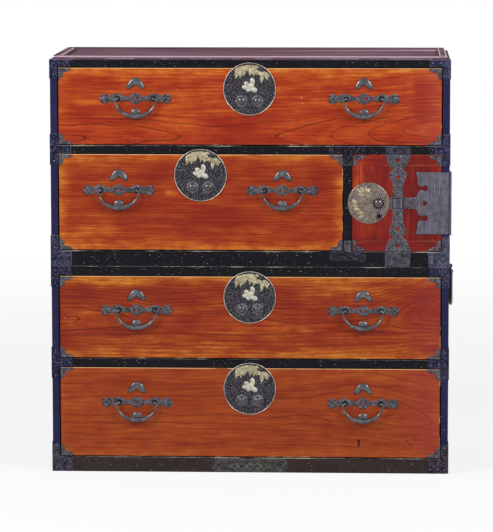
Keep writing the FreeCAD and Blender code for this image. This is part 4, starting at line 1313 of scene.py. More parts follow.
@dataclass
class LockPlate:
    """Round lock plate with its rim, leaf spray, blossom and two studs."""

    number: str
    finishes: Finishes
    radius: float = 72.5
    thickness: float = 1.5
    rim_width: float = 1.9
    rim_height: float = 1.3
    stud_spread: float = 22.0
    stud_drop: float = 33.0
    stud_base: float = 16.4
    stud_radius: float = 10.8
    stud_height: float = 7.5
    # Each leaf of the spray: foot, tip, half width and how far it bends aside
    leaves: tuple[tuple[float, ...], ...] = (
        (-32.0, 60.5, -39.0, 27.5, 7.4, 1.5),
        (-21.5, 61.5, -26.0, 29.0, 6.6, 0.5),
        (-9.0, 63.0, -17.5, 35.0, 6.4, -1.0),
        (1.5, 63.5, 0.5, 35.5, 6.2, 1.0),
        (13.0, 62.0, 6.0, 44.0, 5.6, 0.0),
        (20.0, 56.0, 10.0, 33.0, 5.2, -2.0),
        (8.0, 42.5, 38.0, 43.5, 5.8, 2.2),
        (30.0, 44.0, 57.0, 34.0, 6.2, 2.4),
        (34.0, 45.0, 32.0, 14.5, 5.4, 0.6),
        (43.0, 42.0, 49.0, 24.5, 5.8, 1.0),
        (14.0, 63.0, 27.0, 57.5, 3.6, 0.8),
    )
    # Outline of the foliage that joins the leaves
    branch: tuple[tuple[float, float], ...] = (
        (-38.0, 46.0), (-35.0, 57.0), (-24.0, 62.5), (-10.0, 65.5), (8.0, 65.5), (20.0, 61.0), (16.0, 54.0),
        (13.0, 47.5), (26.0, 47.0), (44.0, 44.5), (56.0, 37.0), (49.0, 34.0), (38.0, 38.0), (24.0, 38.5),
        (10.0, 41.0), (1.0, 46.0), (-7.0, 50.0), (-13.0, 44.0), (-24.0, 40.0), (-33.0, 38.0),
    )
    # Each lobe of the blossom: middle, half length, half width and turn
    lobes: tuple[tuple[float, ...], ...] = (
        (8.5, 20.5, 11.0, 7.2, 100.0),
        (-9.0, 14.0, 8.0, 7.2, 140.0),
        (-14.8, 3.5, 8.0, 6.4, 165.0),
        (-4.6, 3.8, 11.0, 10.4, 90.0),
        (5.0, 7.6, 9.6, 8.6, 90.0),
        (-3.6, -4.8, 6.6, 5.2, 200.0),
        (15.0, -4.3, 8.8, 7.6, 315.0),
        (7.0, -2.6, 6.0, 5.4, 90.0),
    )

    def build(self) -> None:
        """Build the plate and all that stands on it."""
        name = f"drawer_{self.number}"
        low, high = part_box(f"{name}_lock")
        middle = (low[0] + high[0]) / 2 / METRES
        spot = (middle, FRONT_FACE, high[2] / METRES - self.radius)
        look = self.finishes
        body = name
        node = f"{name}_lock"
        plate = turned_form(self.plate_profile(), spot, 96)
        new_piece(f"{name}_lock_plate", plate, look.ground, body, (node,))
        rim = turned_form(self.rim_profile(), spot, 96)
        new_piece(f"{name}_lock_rim", rim, look.rim, body)
        face = (spot[0], FRONT_FACE - self.thickness, spot[2])
        leaves = [leaf_form(leaf, face) for leaf in self.leaves]
        leaves.append(cut_plate(smooth_loop(np.array(self.branch), 4), [], 1.3, face, 0.5))
        new_piece(f"{name}_leaf_spray", joined(leaves), look.leaf, body)
        lobes = [lobe_form(lobe, face) for lobe in self.lobes]
        new_piece(f"{name}_blossom", joined(lobes), look.blossom, body)
        for side in Side:
            stud_spot = (face[0] + side.value * self.stud_spread, face[1], face[2] - self.stud_drop)
            build_stud(f"{name}_stud_{side.name.lower()}", stud_spot, self.stud_base, self.stud_radius,
                       self.stud_height, look.stud_base, look.stud, body)
        new_piece(f"{name}_lock_body", lock_body(node), look.pull_iron, body)

    def plate_profile(self) -> list[tuple[float, float]]:
        """Radius and height pairs of the thin plate.

        Returns:
            The pairs, from the back edge to the middle.
        """
        inner = self.radius - self.rim_width
        return [(self.radius - 0.2, 0.0), (inner, self.thickness * 0.96), (inner * 0.5, self.thickness),
                (TIP, self.thickness)]

    def rim_profile(self) -> list[tuple[float, float]]:
        """Radius and height pairs of the rim's half-round section.

        Returns:
            The pairs, from the outer foot over the crown to the inner foot.
        """
        angle = np.linspace(0, np.pi, 7)
        centre = self.radius - self.rim_width / 2
        top = [(centre + self.rim_width / 2 * np.cos(turn), self.thickness + self.rim_height * np.sin(turn))
               for turn in angle]
        return [(self.radius, 0.0)] + top + [(centre - self.rim_width / 2, self.thickness * 0.4)]


def lock_body(node: str) -> Mesh:
    """Copy of the lock body behind a front, without what stands before it.

    Args:
        node: node that holds the plate, the studs and the lock body.

    Returns:
        The mesh of the lock body alone.
    """
    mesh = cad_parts[node].data.copy()
    work = bmesh.new()
    work.from_mesh(mesh)
    bmesh.ops.remove_doubles(work, verts=work.verts, dist=NODE_WELD)
    limit = (FRONT_FACE + 4) * METRES
    loose = [face for face in work.faces if face.calc_center_median().y < limit]
    bmesh.ops.delete(work, geom=loose, context="FACES")
    work.to_mesh(mesh)
    work.free()
    mesh.materials.clear()
    return mesh


def leaf_form(leaf: tuple[float, ...], face: Triple) -> Mesh:
    """Raised leaf with a creased vein.

    Along the leaf, u runs from its foot to its tip on a line that bends aside
    by a sine of u. Across it, v runs from edge to edge, and the half width is
    the sine of pi times u to the power 0.75. The height is the
    root of one less v squared, and dips at the vein.

    Args:
        leaf: foot, tip, half width and bend.
        face: the point of the plate's face that the leaf is placed about.

    Returns:
        The leaf's mesh.
    """
    foot, tip = np.array(leaf[0:2]), np.array(leaf[2:4])
    half_width, bend = leaf[4:6]
    rise = 2.3
    along = np.linspace(0.02, 0.985, 12)[:, None]
    run = tip - foot
    aside = np.array([-run[1], run[0]]) / np.linalg.norm(run)
    line = foot + along * run + np.sin(np.pi * along) * bend * aside
    spread = half_width * np.sin(np.pi * along ** 0.75)
    across = np.linspace(-1, 1, 9)[None, :]
    top = line[:, None, :] + (spread * across)[:, :, None] * aside
    high = rise * np.sqrt(np.clip(1 - across ** 2, 0, 1)) * (0.55 + 0.45 * np.abs(across) ** 0.5)
    high = high * np.sin(np.pi * along) ** 0.4
    front = np.stack([top[:, :, 0], -high - 0.05, top[:, :, 1]], axis=-1)
    back = np.stack([top[:, ::-1, 0], np.full(high.shape, 0.1), top[:, ::-1, 1]], axis=-1)
    return grid_mesh(place_points(np.concatenate([front, back], axis=1), face))


def lobe_form(lobe: tuple[float, ...], face: Triple) -> Mesh:
    """Rounded lobe: half an ellipsoid, turned on the plate's face.

    Args:
        lobe: middle, half length, half width and turn in degrees.
        face: the point of the plate's face that the lobe is placed about.

    Returns:
        The lobe's mesh.
    """
    x, z, long_half, short_half = np.array(lobe[:4]) * 0.94 + np.array([0.0, 1.6, 0.0, 0.0])
    turn = np.radians(lobe[4])
    angle = full_turn(24)[None, :]
    rise = np.linspace(0, np.pi / 2 * 0.98, 7)[:, None]
    across, up = long_half * np.cos(rise) * np.cos(angle), short_half * np.cos(rise) * np.sin(angle)
    high = np.broadcast_to(4.2 * np.sin(rise), across.shape)
    points = np.stack([x + across * np.cos(turn) - up * np.sin(turn), -high,
                       z + across * np.sin(turn) + up * np.cos(turn)], axis=-1)
    return grid_mesh(place_points(points, face))


def build_stud(name: str, spot: Triple, base: float, radius: float, height: float,
               foot: Material, dome: Material, body: str) -> None:
    """Domed stud on a flower base with a raised ring.

    Args:
        name: the stud's name.
        spot: the middle of its foot.
        base: radius of the flower base.
        radius: radius of the dome.
        height: height of the dome above the base.
        foot: finish of the base.
        dome: finish of the dome.
        body: the body that carries it.
    """
    flower = [(base, 0.0), (base, 0.7), (base * 0.93, 1.4), (base * 0.82, 1.1), (base * 0.76, 1.8),
              (radius * 0.98, 2.0), (radius * 0.6, 2.0), (TIP, 2.0)]
    mesh = turned_form(flower, spot, 96, petals=12, wave=0.05)
    new_piece(f"{name}_flower", mesh, foot, body)
    head_spot = (spot[0], spot[1] - 1.6, spot[2])
    head = turned_form(dome_profile(radius, height, rings=12), head_spot, 48)
    new_piece(f"{name}_head", head, dome, body)


@dataclass
class Pull:
    """Hanging pull: back plate, peak above, strike below, eyes and bail."""

    number: str
    side: Side
    finishes: Finishes
    reach: float = 56.5
    drop: float = 48.4
    turn_in: float = 5.5
    pin_end: float = 45.0
    spread: float = 49.5
    pivot_reach: float = 11.0
    plate_thick: float = 1.7
    # Pivots below the bail's top, then the peak above them and the strike below them
    bail_top: float = 3.4
    peak_lift: float = 26.3
    peak_height: float = 5.4
    strike_drop: float = 42.0
    strike_radius: float = 14.6
    strike_height: float = 4.6
    # Half thickness of the bail's bar, and how much its height and depth swell
    bar: float = 2.4
    swell_high: float = 3.9
    swell_deep: float = 2.6
    # A pierced diamond's distance from the middle, half width and half height
    diamond: Triple = (6.3, 3.2, 4.2)
    boss_places: tuple[tuple[float, float], ...] = ((86, 0), (79, 8), (79, -8), (93, 7), (93, -7))
    # Right half of the back plate, from the top of its rosette to the bottom
    plate_half: tuple[tuple[float, float], ...] = (
        (0.0, 16.0), (4.5, 14.4), (9.0, 14.2), (12.6, 11.0), (16.4, 7.4), (20.0, 5.8), (27.0, 6.4),
        (37.0, 9.8), (47.0, 13.4), (57.0, 13.8), (66.0, 10.4), (71.0, 7.4), (74.0, 8.6), (77.5, 12.8),
        (82.0, 13.4), (85.5, 12.0), (90.0, 12.8), (94.5, 9.6), (95.2, 5.4), (100.4, 0.2), (95.6, -5.2),
        (95.6, -10.0), (90.6, -13.2), (86.0, -12.4), (81.6, -14.6), (76.6, -12.4), (73.0, -8.0),
        (66.0, -9.0), (57.0, -9.4), (47.0, -8.0), (37.0, -6.6), (27.0, -5.6), (20.0, -5.4),
        (15.8, -7.4), (12.4, -10.6), (9.0, -13.6), (4.5, -13.0), (0.0, -16.4),
    )
    peak_half: tuple[tuple[float, float], ...] = (
        (0.0, 31.8), (7.5, 30.2), (14.5, 25.0), (20.0, 17.5), (24.8, 9.0), (25.6, 4.2), (23.0, 0.6),
        (18.0, 0.2), (13.0, 1.6), (8.5, 5.2), (4.0, 9.2), (0.0, 11.4),
    )

    def build(self) -> None:
        """Build the pull's fixed fittings and its bail."""
        name = f"drawer_{self.number}_pull_{self.side.name.lower()}"
        node = f"drawer_{self.number}_bail_{self.side.name.lower()}"
        low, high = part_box(node)
        x = (low[0] + high[0]) / 2 / METRES
        z = high[2] / METRES - self.bail_top
        body = f"drawer_{self.number}"
        look = self.finishes
        spot = (x, FRONT_FACE, z)
        outline = smooth_loop(mirrored(self.plate_half), 4)
        away, half_wide, half_high = self.diamond
        diamonds = [np.array([(middle - half_wide, 0), (middle, -half_high), (middle + half_wide, 0),
                              (middle, half_high)]) for middle in (-away, away)]
        holes = diamonds + [round_loop((0, -11), 1.8, 10)]
        plate = cut_plate(outline, holes, self.plate_thick, spot, 0.7)
        new_piece(f"{name}_plate", edged(plate, look.pull_iron, look.plate_edge), look.pull_iron, body)
        peak = self.peak((x, FRONT_FACE, z + self.peak_lift))
        new_piece(f"{name}_peak", peak, look.bail_iron, body)
        strike_spot = (x, FRONT_FACE, z - self.strike_drop)
        strike = turned_form(dome_profile(self.strike_radius, self.strike_height, rings=9), strike_spot,
                             40, petals=10, wave=0.03)
        new_piece(f"{name}_strike", strike, look.bail_iron, body)
        self.build_eyes(name, x, z, body)
        bosses = [(x + side.value * reach, z + rise) for side in Side
                  for reach, rise in self.boss_places]
        face = FRONT_FACE - self.plate_thick
        Nails(1.9, 1.2).build(f"{name}_bosses", bosses, face, look.shadow_iron, body)
        bail = self.bail((x, FRONT_FACE - self.pivot_reach, z))
        new_piece(f"{name}_bail", bail, look.bail_iron, node, (node,))

    def build_eyes(self, name: str, x: float, z: float, body: str) -> None:
        """Build the two posts whose loops carry the bail.

        Args:
            name: the pull's name.
            x: middle of the pull.
            z: height of its pivots.
            body: the body that carries the posts.
        """
        # The posts' rosettes are near-black: painted shade round the eyes
        rosette = [(8.0, 0), (7.4, 1.5), (4.0, 1.9), (2.6, 2.2), (2.4, 6.4), (TIP, 6.4)]
        eyes, feet = [], []
        for side in Side:
            spot = (x + side.value * self.spread, FRONT_FACE - self.plate_thick * 0.6, z)
            feet.append(turned_form(rosette, spot, 20))
            eyes.append(ring_form(4.0, 1.4, 2.0, (spot[0], FRONT_FACE - self.pivot_reach, z)))
        new_piece(f"{name}_eyes", joined(eyes), self.finishes.bail_iron, body)
        new_piece(f"{name}_eye_feet", joined(feet), self.finishes.shadow_iron, body)

    def peak(self, spot: Triple) -> Mesh:
        """Crescent boss, swollen between its upper and its lower edge.

        The outline shrinks towards an arch inside it as u runs from 0 to 1,
        and rises with the square root of 1 - (1 - u) squared.

        Args:
            spot: middle of the boss's foot line.

        Returns:
            The boss's mesh.
        """
        outline = smooth_loop(mirrored(self.peak_half), 5)
        arch_x = np.clip(outline[:, 0], -18, 18) * 0.97
        spine = np.stack([arch_x, 19.5 - 0.040 * arch_x ** 2], axis=-1)
        step = np.linspace(0, 0.97, 8)[:, None, None]
        flat = outline[None] * (1 - step) + spine[None] * step
        high = self.peak_height * np.sqrt(1 - (1 - step[:, :, 0]) ** 2) * np.ones(len(outline))[None, :]
        points = np.stack([flat[:, :, 0], -high, flat[:, :, 1]], axis=-1)
        return grid_mesh(place_points(points, spot))

    def bail(self, pivot: Triple) -> Mesh:
        """Swelling bar that hangs from its two ends.

        Its middle line is half an ellipse, drawn out a little to a point at
        the bottom, whose ends turn in by a quarter circle to the pins that
        the eyes hold. The section at angle t is an ellipse whose half height
        and half depth grow with the square of the sine of t.

        Args:
            pivot: middle of the line through the two eyes.

        Returns:
            The bail's mesh.
        """
        start = np.arcsin(self.turn_in / self.drop)
        turn = np.linspace(start, np.pi - start, 37)
        hang = np.stack([self.reach * np.cos(turn), -self.drop * np.sin(turn) ** 0.94], axis=-1)
        corner = np.linspace(np.pi / 2, 0, 7)[:-1]
        end_x, end_z = hang[0]
        bend = np.stack([end_x - self.turn_in * (1 - np.cos(corner)), end_z * (1 - np.sin(corner))], axis=-1)
        pin = np.stack([np.linspace(self.pin_end, bend[0, 0], 3)[:-1], np.zeros(2)], axis=-1)
        right_end = np.concatenate([pin, bend])
        line = np.concatenate([right_end, hang, right_end[::-1] * np.array([-1, 1])])
        swell = np.concatenate([np.zeros(len(right_end)), np.sin(turn) ** 2, np.zeros(len(right_end))])
        slope = np.gradient(line, axis=0)
        slope /= np.linalg.norm(slope, axis=1)[:, None]
        across = np.stack([-slope[:, 1], slope[:, 0]], axis=-1)
        half_high = self.bar + self.swell_high * swell
        half_deep = self.bar + self.swell_deep * swell
        angle = full_turn(20)[None, :]
        flat = line[:, None, :] + (half_high[:, None] * np.cos(angle))[:, :, None] * across[:, None, :]
        deep = half_deep[:, None] * np.sin(angle)
        points = np.stack([flat[:, :, 0], deep, flat[:, :, 1]], axis=-1)
        return grid_mesh(place_points(points, pivot))


def ring_form(radius: float, wire: float, width: float,
              spot: Triple) -> Mesh:
    """Flattened ring about X: an ellipse carried round a circle.

    Args:
        radius: radius of the circle.
        wire: half thickness of the ring, away from its axis.
        width: half width of the ring along its axis.
        spot: the ring's middle.

    Returns:
        The ring's mesh.
    """
    about = np.linspace(0, 2 * np.pi, 24, endpoint=True)[:, None]
    section = full_turn(12)[None, :]
    reach = radius + wire * np.cos(section)
    along = np.broadcast_to(width * np.sin(section), (24, 12))
    points = np.stack([along, reach * np.cos(about), reach * np.sin(about)], axis=-1)
    return grid_mesh(place_points(points, spot), capped=False)


@dataclass
class FrontCorners:
    """Four stepped corner plates of a front, with their nails."""

    name: str
    body: str
    finishes: Finishes
    thickness: float = 1.5
    inset: float = 2.6
    # Outline from the corner, along the front's edge and back up, in hollow steps
    steps: tuple[tuple[float, float], ...] = (
        (0, 0), (0, 0), (34, 0), (34, 0), (31.5, 4.4), (28, 5), (26, 8.4), (21, 7.6), (16.5, 9.6), (13.4, 8.8),
        (10.6, 10.6), (11.4, 14.6), (9.6, 18), (10.4, 22), (6.4, 24), (5, 27.4), (0, 29), (0, 29),
    )

    def build(self, node: str) -> None:
        """Build the plates at the four corners of a front.

        Args:
            node: the front's node, whose box gives the corners.
        """
        low, high = (np.array(corner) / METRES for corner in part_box(node))
        low, high = low + self.inset, high - self.inset
        loop = smooth_loop(np.array(self.steps, dtype=float), 3)
        spots = []
        for side, x in ((Side.LEFT, low[0]), (Side.RIGHT, high[0])):
            for up, z in ((1, low[2]), (-1, high[2])):
                outline = loop * np.array([-side.value, up])
                piece = f"{self.name}_corner_{side.name.lower()}_{'low' if up > 0 else 'high'}"
                mesh = cut_plate(outline, [], self.thickness, (x, FRONT_FACE, z), 0.6)
                look = self.finishes
                new_piece(piece, edged(mesh, look.front_iron, look.plate_edge), look.front_iron, self.body)
                spots += [(x - side.value * dx, z + up * dz) for dx, dz in ((4.5, 4.5), (25, 3.4), (3.6, 21))]
        Nails(1.4, 0.9).build(f"{self.name}_corner_nails", spots, FRONT_FACE - self.thickness,
                              self.finishes.nail, self.body)


@dataclass
class Drawer:
    """One drawer with all its fittings."""

    number: str
    finishes: Finishes

    def build(self) -> None:
        """Build the drawer's front, box, lock, corners and pulls."""
        name = f"drawer_{self.number}"
        look = self.finishes
        # The front's side faces take the dark flank lacquer: painted shade that darkens the gap round the
        # front.
        eased_board(f"{name}_front", look.fronts[self.number], look.front_edge, name, 1.6,
                    sides=look.flank, reveal=0.8)
        dress_node(f"{name}_box", look.plain)
        dress_node(f"{name}_bolt", look.pull_iron)
        LockPlate(self.number, look).build()
        FrontCorners(name, name, look).build(f"{name}_front")
        for side in Side:
            Pull(self.number, side, look).build()
        # The irons' node is shown by the plates, peaks, strikes and eyes above
        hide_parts(f"{name}_irons")


@dataclass
class Door:
    """Door with its strap, band, hinge leaf, lock and small drawers behind."""

    finishes: Finishes
    middle_z: float = 756.0
    half_height: float = 133.5
    strap_x: float = 408.0
    leaf_x: float = 502.5
    leaf_half_height: float = 88.0
    # Right half of the strap above its middle, as X and height, from the top down
    strap_half: tuple[tuple[float, float], ...] = (
        (0, 133.5), (35, 133.5), (35, 133.5), (34, 124), (30, 121), (30, 113), (25, 108), (23, 101),
        (15, 99), (15, 91), (18, 88), (23, 86), (24, 79), (22, 71), (18, 62), (15, 52), (14, 40),
        (14, 0),
    )
    # Left edge of the hinge leaf above its middle, from the top down
    leaf_edge: tuple[tuple[float, float], ...] = (
        (-47, 86), (-43, 78), (-41.6, 68), (-41.4, 57), (-39.6, 51), (-35, 48.4),
    )

    def build(self) -> None:
        """Build the door and everything on it."""
        look = self.finishes
        cleat = 29.0
        low, high = self.middle_z - self.half_height, self.middle_z + self.half_height
        # The panel's and cleats' side faces take the dark flank lacquer: painted shade in the gap round the
        # door.
        eased_board("door_panel", look.door, look.door_edge, "door", 0.8, sides=look.flank,
                    slab=("middle", low + cleat, high - cleat))
        cleats = {"lower_cleat": (low - 1, low + cleat), "upper_cleat": (high - cleat, high + 1)}
        for place, span in cleats.items():
            eased_board("door_panel", look.cleat, look.door_edge, "door", 0.8,
                        sides=look.flank, slab=(place, *span))
        dress_node("door_bolt", look.pull_iron)
        self.build_strap()
        self.build_leaf()
        self.build_lock()
        FrontCorners("door", "door", look).build("door_panel")
        for spot in ("lower", "upper"):
            dress_node(f"inner_drawer_{spot}", look.plain)

    def build_strap(self) -> None:
        """Build the strap, the band across it and the block on the crossing."""
        look = self.finishes
        half = np.array(self.strap_half, dtype=float)
        low = half[::-1] * np.array([1, -1])
        right = np.concatenate([half[1:-1], low[:-1]])
        whole = np.concatenate([right, right[::-1] * np.array([-1, 1])])
        outline = smooth_loop(whole, 2)
        holes = [heart_loop((0, z), 14, up) for z, up in ((118, 1), (72, -1), (-72, 1), (-118, -1))]
        spot = (self.strap_x, FRONT_FACE, self.middle_z)
        strap = edged(cut_plate(outline, holes, 1.5, spot, 0.6), look.strap, look.iron_edge)
        new_piece("door_strap", strap, look.strap, "door", ("door_irons",))
        band = flat_loop(384.8 - self.strap_x, 457.6 - self.strap_x, 15.7)
        mesh = cut_plate(band, [round_loop((31, 0), 2.6, 12)], 1.9, spot, 0.7)
        new_piece("door_band", edged(mesh, look.strap, look.iron_edge), look.strap, "door")
        # Near-black base under the bars: painted shade in the gaps between them
        block = flat_loop(-15.5, 15.5, 14.5)
        mesh = cut_plate(block, [], 1.0, (spot[0], FRONT_FACE - 1.9, spot[2]))
        new_piece("door_block_base", mesh, look.shadow_iron, "door")
        bars = [cut_plate(flat_loop(x - half_bar, x + half_bar, 12.8), [], 0.9,
                          (spot[0], FRONT_FACE - 2.9, spot[2]))
                for x, half_bar in ((-8.6, 5.0), (0.2, 2.4), (8.2, 4.2))]
        new_piece("door_block", joined(bars), look.hinge, "door")
        nails = [(self.strap_x + x, self.middle_z + z) for z in (-128, -95, -52, -30, 30, 52, 95, 128)
                 for x in (-8, 8)]
        Nails(1.6, 1.0).build("door_strap_nails", nails, FRONT_FACE - 1.5, look.nail, "door")

    def build_leaf(self) -> None:
        """Build the hinge leaf with its keyhole-shaped cut-outs."""
        look = self.finishes
        edge = list(self.leaf_edge)
        slot_x, slot_z = -20.0, 41.5
        angle = np.radians(np.linspace(150, -150, 15))
        slot = [(slot_x + 8.4 * np.cos(turn), slot_z + 8.4 * np.sin(turn)) for turn in angle]
        bulge = [(-34, 35), (-40.5, 30), (-44, 18), (-44, 0)]
        upper = edge + slot + bulge
        lower = [(x, -z) for x, z in upper[::-1]][1:]
        right = [(46.6, -86), (46.6, 86)]
        outline = np.array(upper + lower + right, dtype=float)
        square = np.array([(-20.5, -7.5), (-13, 0), (-20.5, 7.5), (-28, 0)], dtype=float)
        spot = (self.leaf_x, FRONT_FACE, self.middle_z)
        leaf = cut_plate(outline, [square], 1.5, spot, 0.6)
        new_piece("door_leaf_plate", edged(leaf, look.hinge, look.plate_edge), look.hinge, "door")
        dress_node("door_hinge_leaf", look.hinge)
        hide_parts("door_hinge_leaf")
        barrels = [self.barrel(number) for number in (0, 2, 4)]
        new_piece("door_leaf_barrels", joined(barrels), look.hinge, "door")
        dress_node("upper_hinge_leaf", look.hinge)
        dress_node("hinge_pin", look.hinge)

    def barrel(self, number: int) -> Mesh:
        """One barrel of the hinge, a plain round bar.

        Args:
            number: place of the barrel, counted from the bottom.

        Returns:
            The barrel's mesh.
        """
        pitch = 2 * self.leaf_half_height / 5
        low = self.middle_z - self.leaf_half_height + number * pitch + 0.2
        angle = full_turn(24)
        ring = np.stack([552.4 + 3 * np.cos(angle), -222.4 + 3 * np.sin(angle), np.zeros(24)], axis=-1)
        points = np.stack([ring + np.array([0, 0, level]) for level in (low, low + pitch - 0.4)])
        return grid_mesh(points * METRES)

    def build_lock(self) -> None:
        """Build the round door lock with its ornament, stud and keyhole."""
        look = self.finishes
        x, radius = 327.5, 57.0
        spot = (x, FRONT_FACE, self.middle_z)
        profile = [(radius, 0.0), (radius, 1.2), (radius - 1.6, 2.1), (radius - 4, 1.6),
                   (radius * 0.5, 1.9), (TIP, 2.0)]
        new_piece("door_lock_plate", turned_form(profile, spot, 96), look.door_lock, "door", ("door_lock",))
        face = (x, FRONT_FACE - 1.7, self.middle_z)
        leaves = ((-34, 40, -16, 24, 4.5, 2), (-22, 46, -12, 26, 4, 1), (-8, 47, -8, 26, 4, 1),
                  (4, 42, -4, 25, 4, -1), (-28, 26, -10, 20, 4.5, 1), (-10, 24, 6, 14, 4, 1),
                  (-46, 10, -32, -4, 5, 1), (-44, -4, -26, -12, 5, -1), (-40, -16, -20, -22, 5, 1),
                  (-34, -28, -8, -26, 5, -1), (-28, -40, -8, -34, 3.6, 1))
        forms = [leaf_form(leaf, face) for leaf in leaves]
        new_piece("door_leaf_spray", joined(forms), look.leaf, "door")
        build_stud("door_stud", (x + 27.5, face[1], self.middle_z), 18.4, 13.4, 11.0, look.shadow_iron,
                   look.stud, "door")
        beads = [turned_form(dome_profile(1.8, 2.2, rings=4), (across, face[1] - 1.2, up), 8)
                 for across, up in round_loop((x + 27.5, self.middle_z), 16, 18)]
        new_piece("door_stud_beads", joined(beads), look.rim, "door")
        keyhole = [(9.6, 0.0), (9.6, 1.2), (8.2, 2.2), (6.0, 1.8), (5.0, 0.6), (TIP, 0.5)]
        hole_x, hole_z = x + 28, self.middle_z - 36
        new_piece("door_keyhole", turned_form(keyhole, (hole_x, face[1], hole_z), 32), look.strap, "door")
        # Near-black disc in the keyhole: painted shade in the hole
        bore = turned_form([(6.4, 0.0), (5.8, 0.8), (TIP, 0.8)], (hole_x, face[1] - 0.6, hole_z), 20)
        new_piece("door_keyhole_bore", bore, look.shadow_iron, "door")
        cap = turned_form(dome_profile(7.4, 3.4, rings=6), (x + 26.5, face[1], self.middle_z - 23), 24)
        new_piece("door_keyhole_cap", cap, look.stud_base, "door")
        new_piece("door_lock_body", lock_body("door_lock"), look.pull_iron, "door")


@dataclass
class CaseIrons:
    """Irons on the cases: corners, tees, plates, handles and base plate."""

    finishes: Finishes
    iron: float = 1.7
    corner_x: float = 540.0
    arm_x: tuple[float, ...] = (524, 502)
    levels: dict[str, tuple[float, ...]] = field(default_factory=lambda: {
        "lower": (12, 48, 72, 273, 308, 340, 530, 566), "upper": (590, 630, 654, 870, 902, 936, 1108, 1140),
    })

    def build(self) -> None:
        """Dress the irons, nail them and add the base plate's scrolls."""
        look = self.finishes
        for case, body in CASES.items():
            eased_board(f"{case}_irons", look.case_iron, look.iron_edge, body, 0.7)
            face = FRONT_FACE - self.iron
            spots = [(side.value * self.corner_x, z) for side in Side for z in self.levels[case]]
            spots += [(side.value * x, z) for side in Side for x in self.arm_x
                      for z in self.arm_levels(case)]
            Nails().build(f"{case}_iron_nails", spots, face, look.nail, body)
        eased_board("lower_base_plate", look.base_plate, look.plate_edge, "lower_case", 0.7)
        self.build_scrolls()
        for side in ("left", "right"):
            dress_node(f"lower_handle_{side}", look.bail_iron)

    def arm_levels(self, case: str) -> tuple[float, ...]:
        """Heights of the nails on the arms that run along the rails.

        Args:
            case: lower or upper.

        Returns:
            Z of each row of nails.
        """
        return (12.0, 28.0, 307.0, 566.0) if case == "lower" else (592.0, 608.0, 902.0, 1141.0)

    def build_scrolls(self) -> None:
        """Build the raised scrolls, the border and the dots of the base plate.

        Each scroll is a thin round ridge along a line whose height is a
        cosine of the way along, and two of them cross in opposite phase. The
        border is such a ridge along a six-sided line. Small domes stand in a
        row above the scrolls, and two at each end of them.
        """
        look = self.finishes
        face = FRONT_FACE - self.iron
        along = np.linspace(-62, 62, 90)
        ridges = []
        for phase in (0.0, np.pi):
            fade = 1 - (np.abs(along) / 74) ** 4
            line = np.stack([along, np.zeros(90), 18 + 7.5 * fade * np.cos(along / 41 * 2 * np.pi + phase)],
                            axis=-1)
            ridges.append(carried_ridge(line, 1.0, (0, face, 0)))
        border = np.array([(-86, 37), (86, 37), (97, 20), (88, 5), (-88, 5), (-97, 20), (-86, 37)], dtype=float)
        steps = np.linspace(0, 1, 13, endpoint=False)[:, None]
        path = np.concatenate([start * (1 - steps) + end * steps for start, end in zip(border, border[1:])])
        path = np.stack([path[:, 0], np.zeros(len(path)), path[:, 1]], axis=-1)
        ridges.append(carried_ridge(path, 0.7, (0, face, 0)))
        new_piece("base_plate_scrolls", joined(ridges), look.base_relief, "lower_case")
        dots = [(x, 31.5) for x in range(-76, 77, 8)]
        dots += [(side.value * 80, z) for side in Side for z in (12, 21)]
        Nails(1.5, 1.1).build("base_plate_dots", dots, face, look.base_relief, "lower_case")


def carried_ridge(line: np.ndarray, radius: float,
                  spot: Triple) -> Mesh:
    """Thin round ridge carried along a line that lies in the front's plane.

    The section is a circle in the plane of Y and the line's own normal.

    Args:
        line: points of the line.
        radius: radius of the ridge.
        spot: the point that the line is placed about.

    Returns:
        The ridge's mesh.
    """
    slope = np.gradient(line, axis=0)
    slope /= np.linalg.norm(slope, axis=1)[:, None]
    normal = np.stack([-slope[:, 2], np.zeros(len(line)), slope[:, 0]], axis=-1)
    angle = full_turn(8)[None, :, None]
    front = np.array([0.0, -1.0, 0.0])[None, None, :]
    points = line[:, None, :] + radius * (np.cos(angle) * normal[:, None, :] + np.sin(angle) * front)
    return grid_mesh(place_points(points, spot))


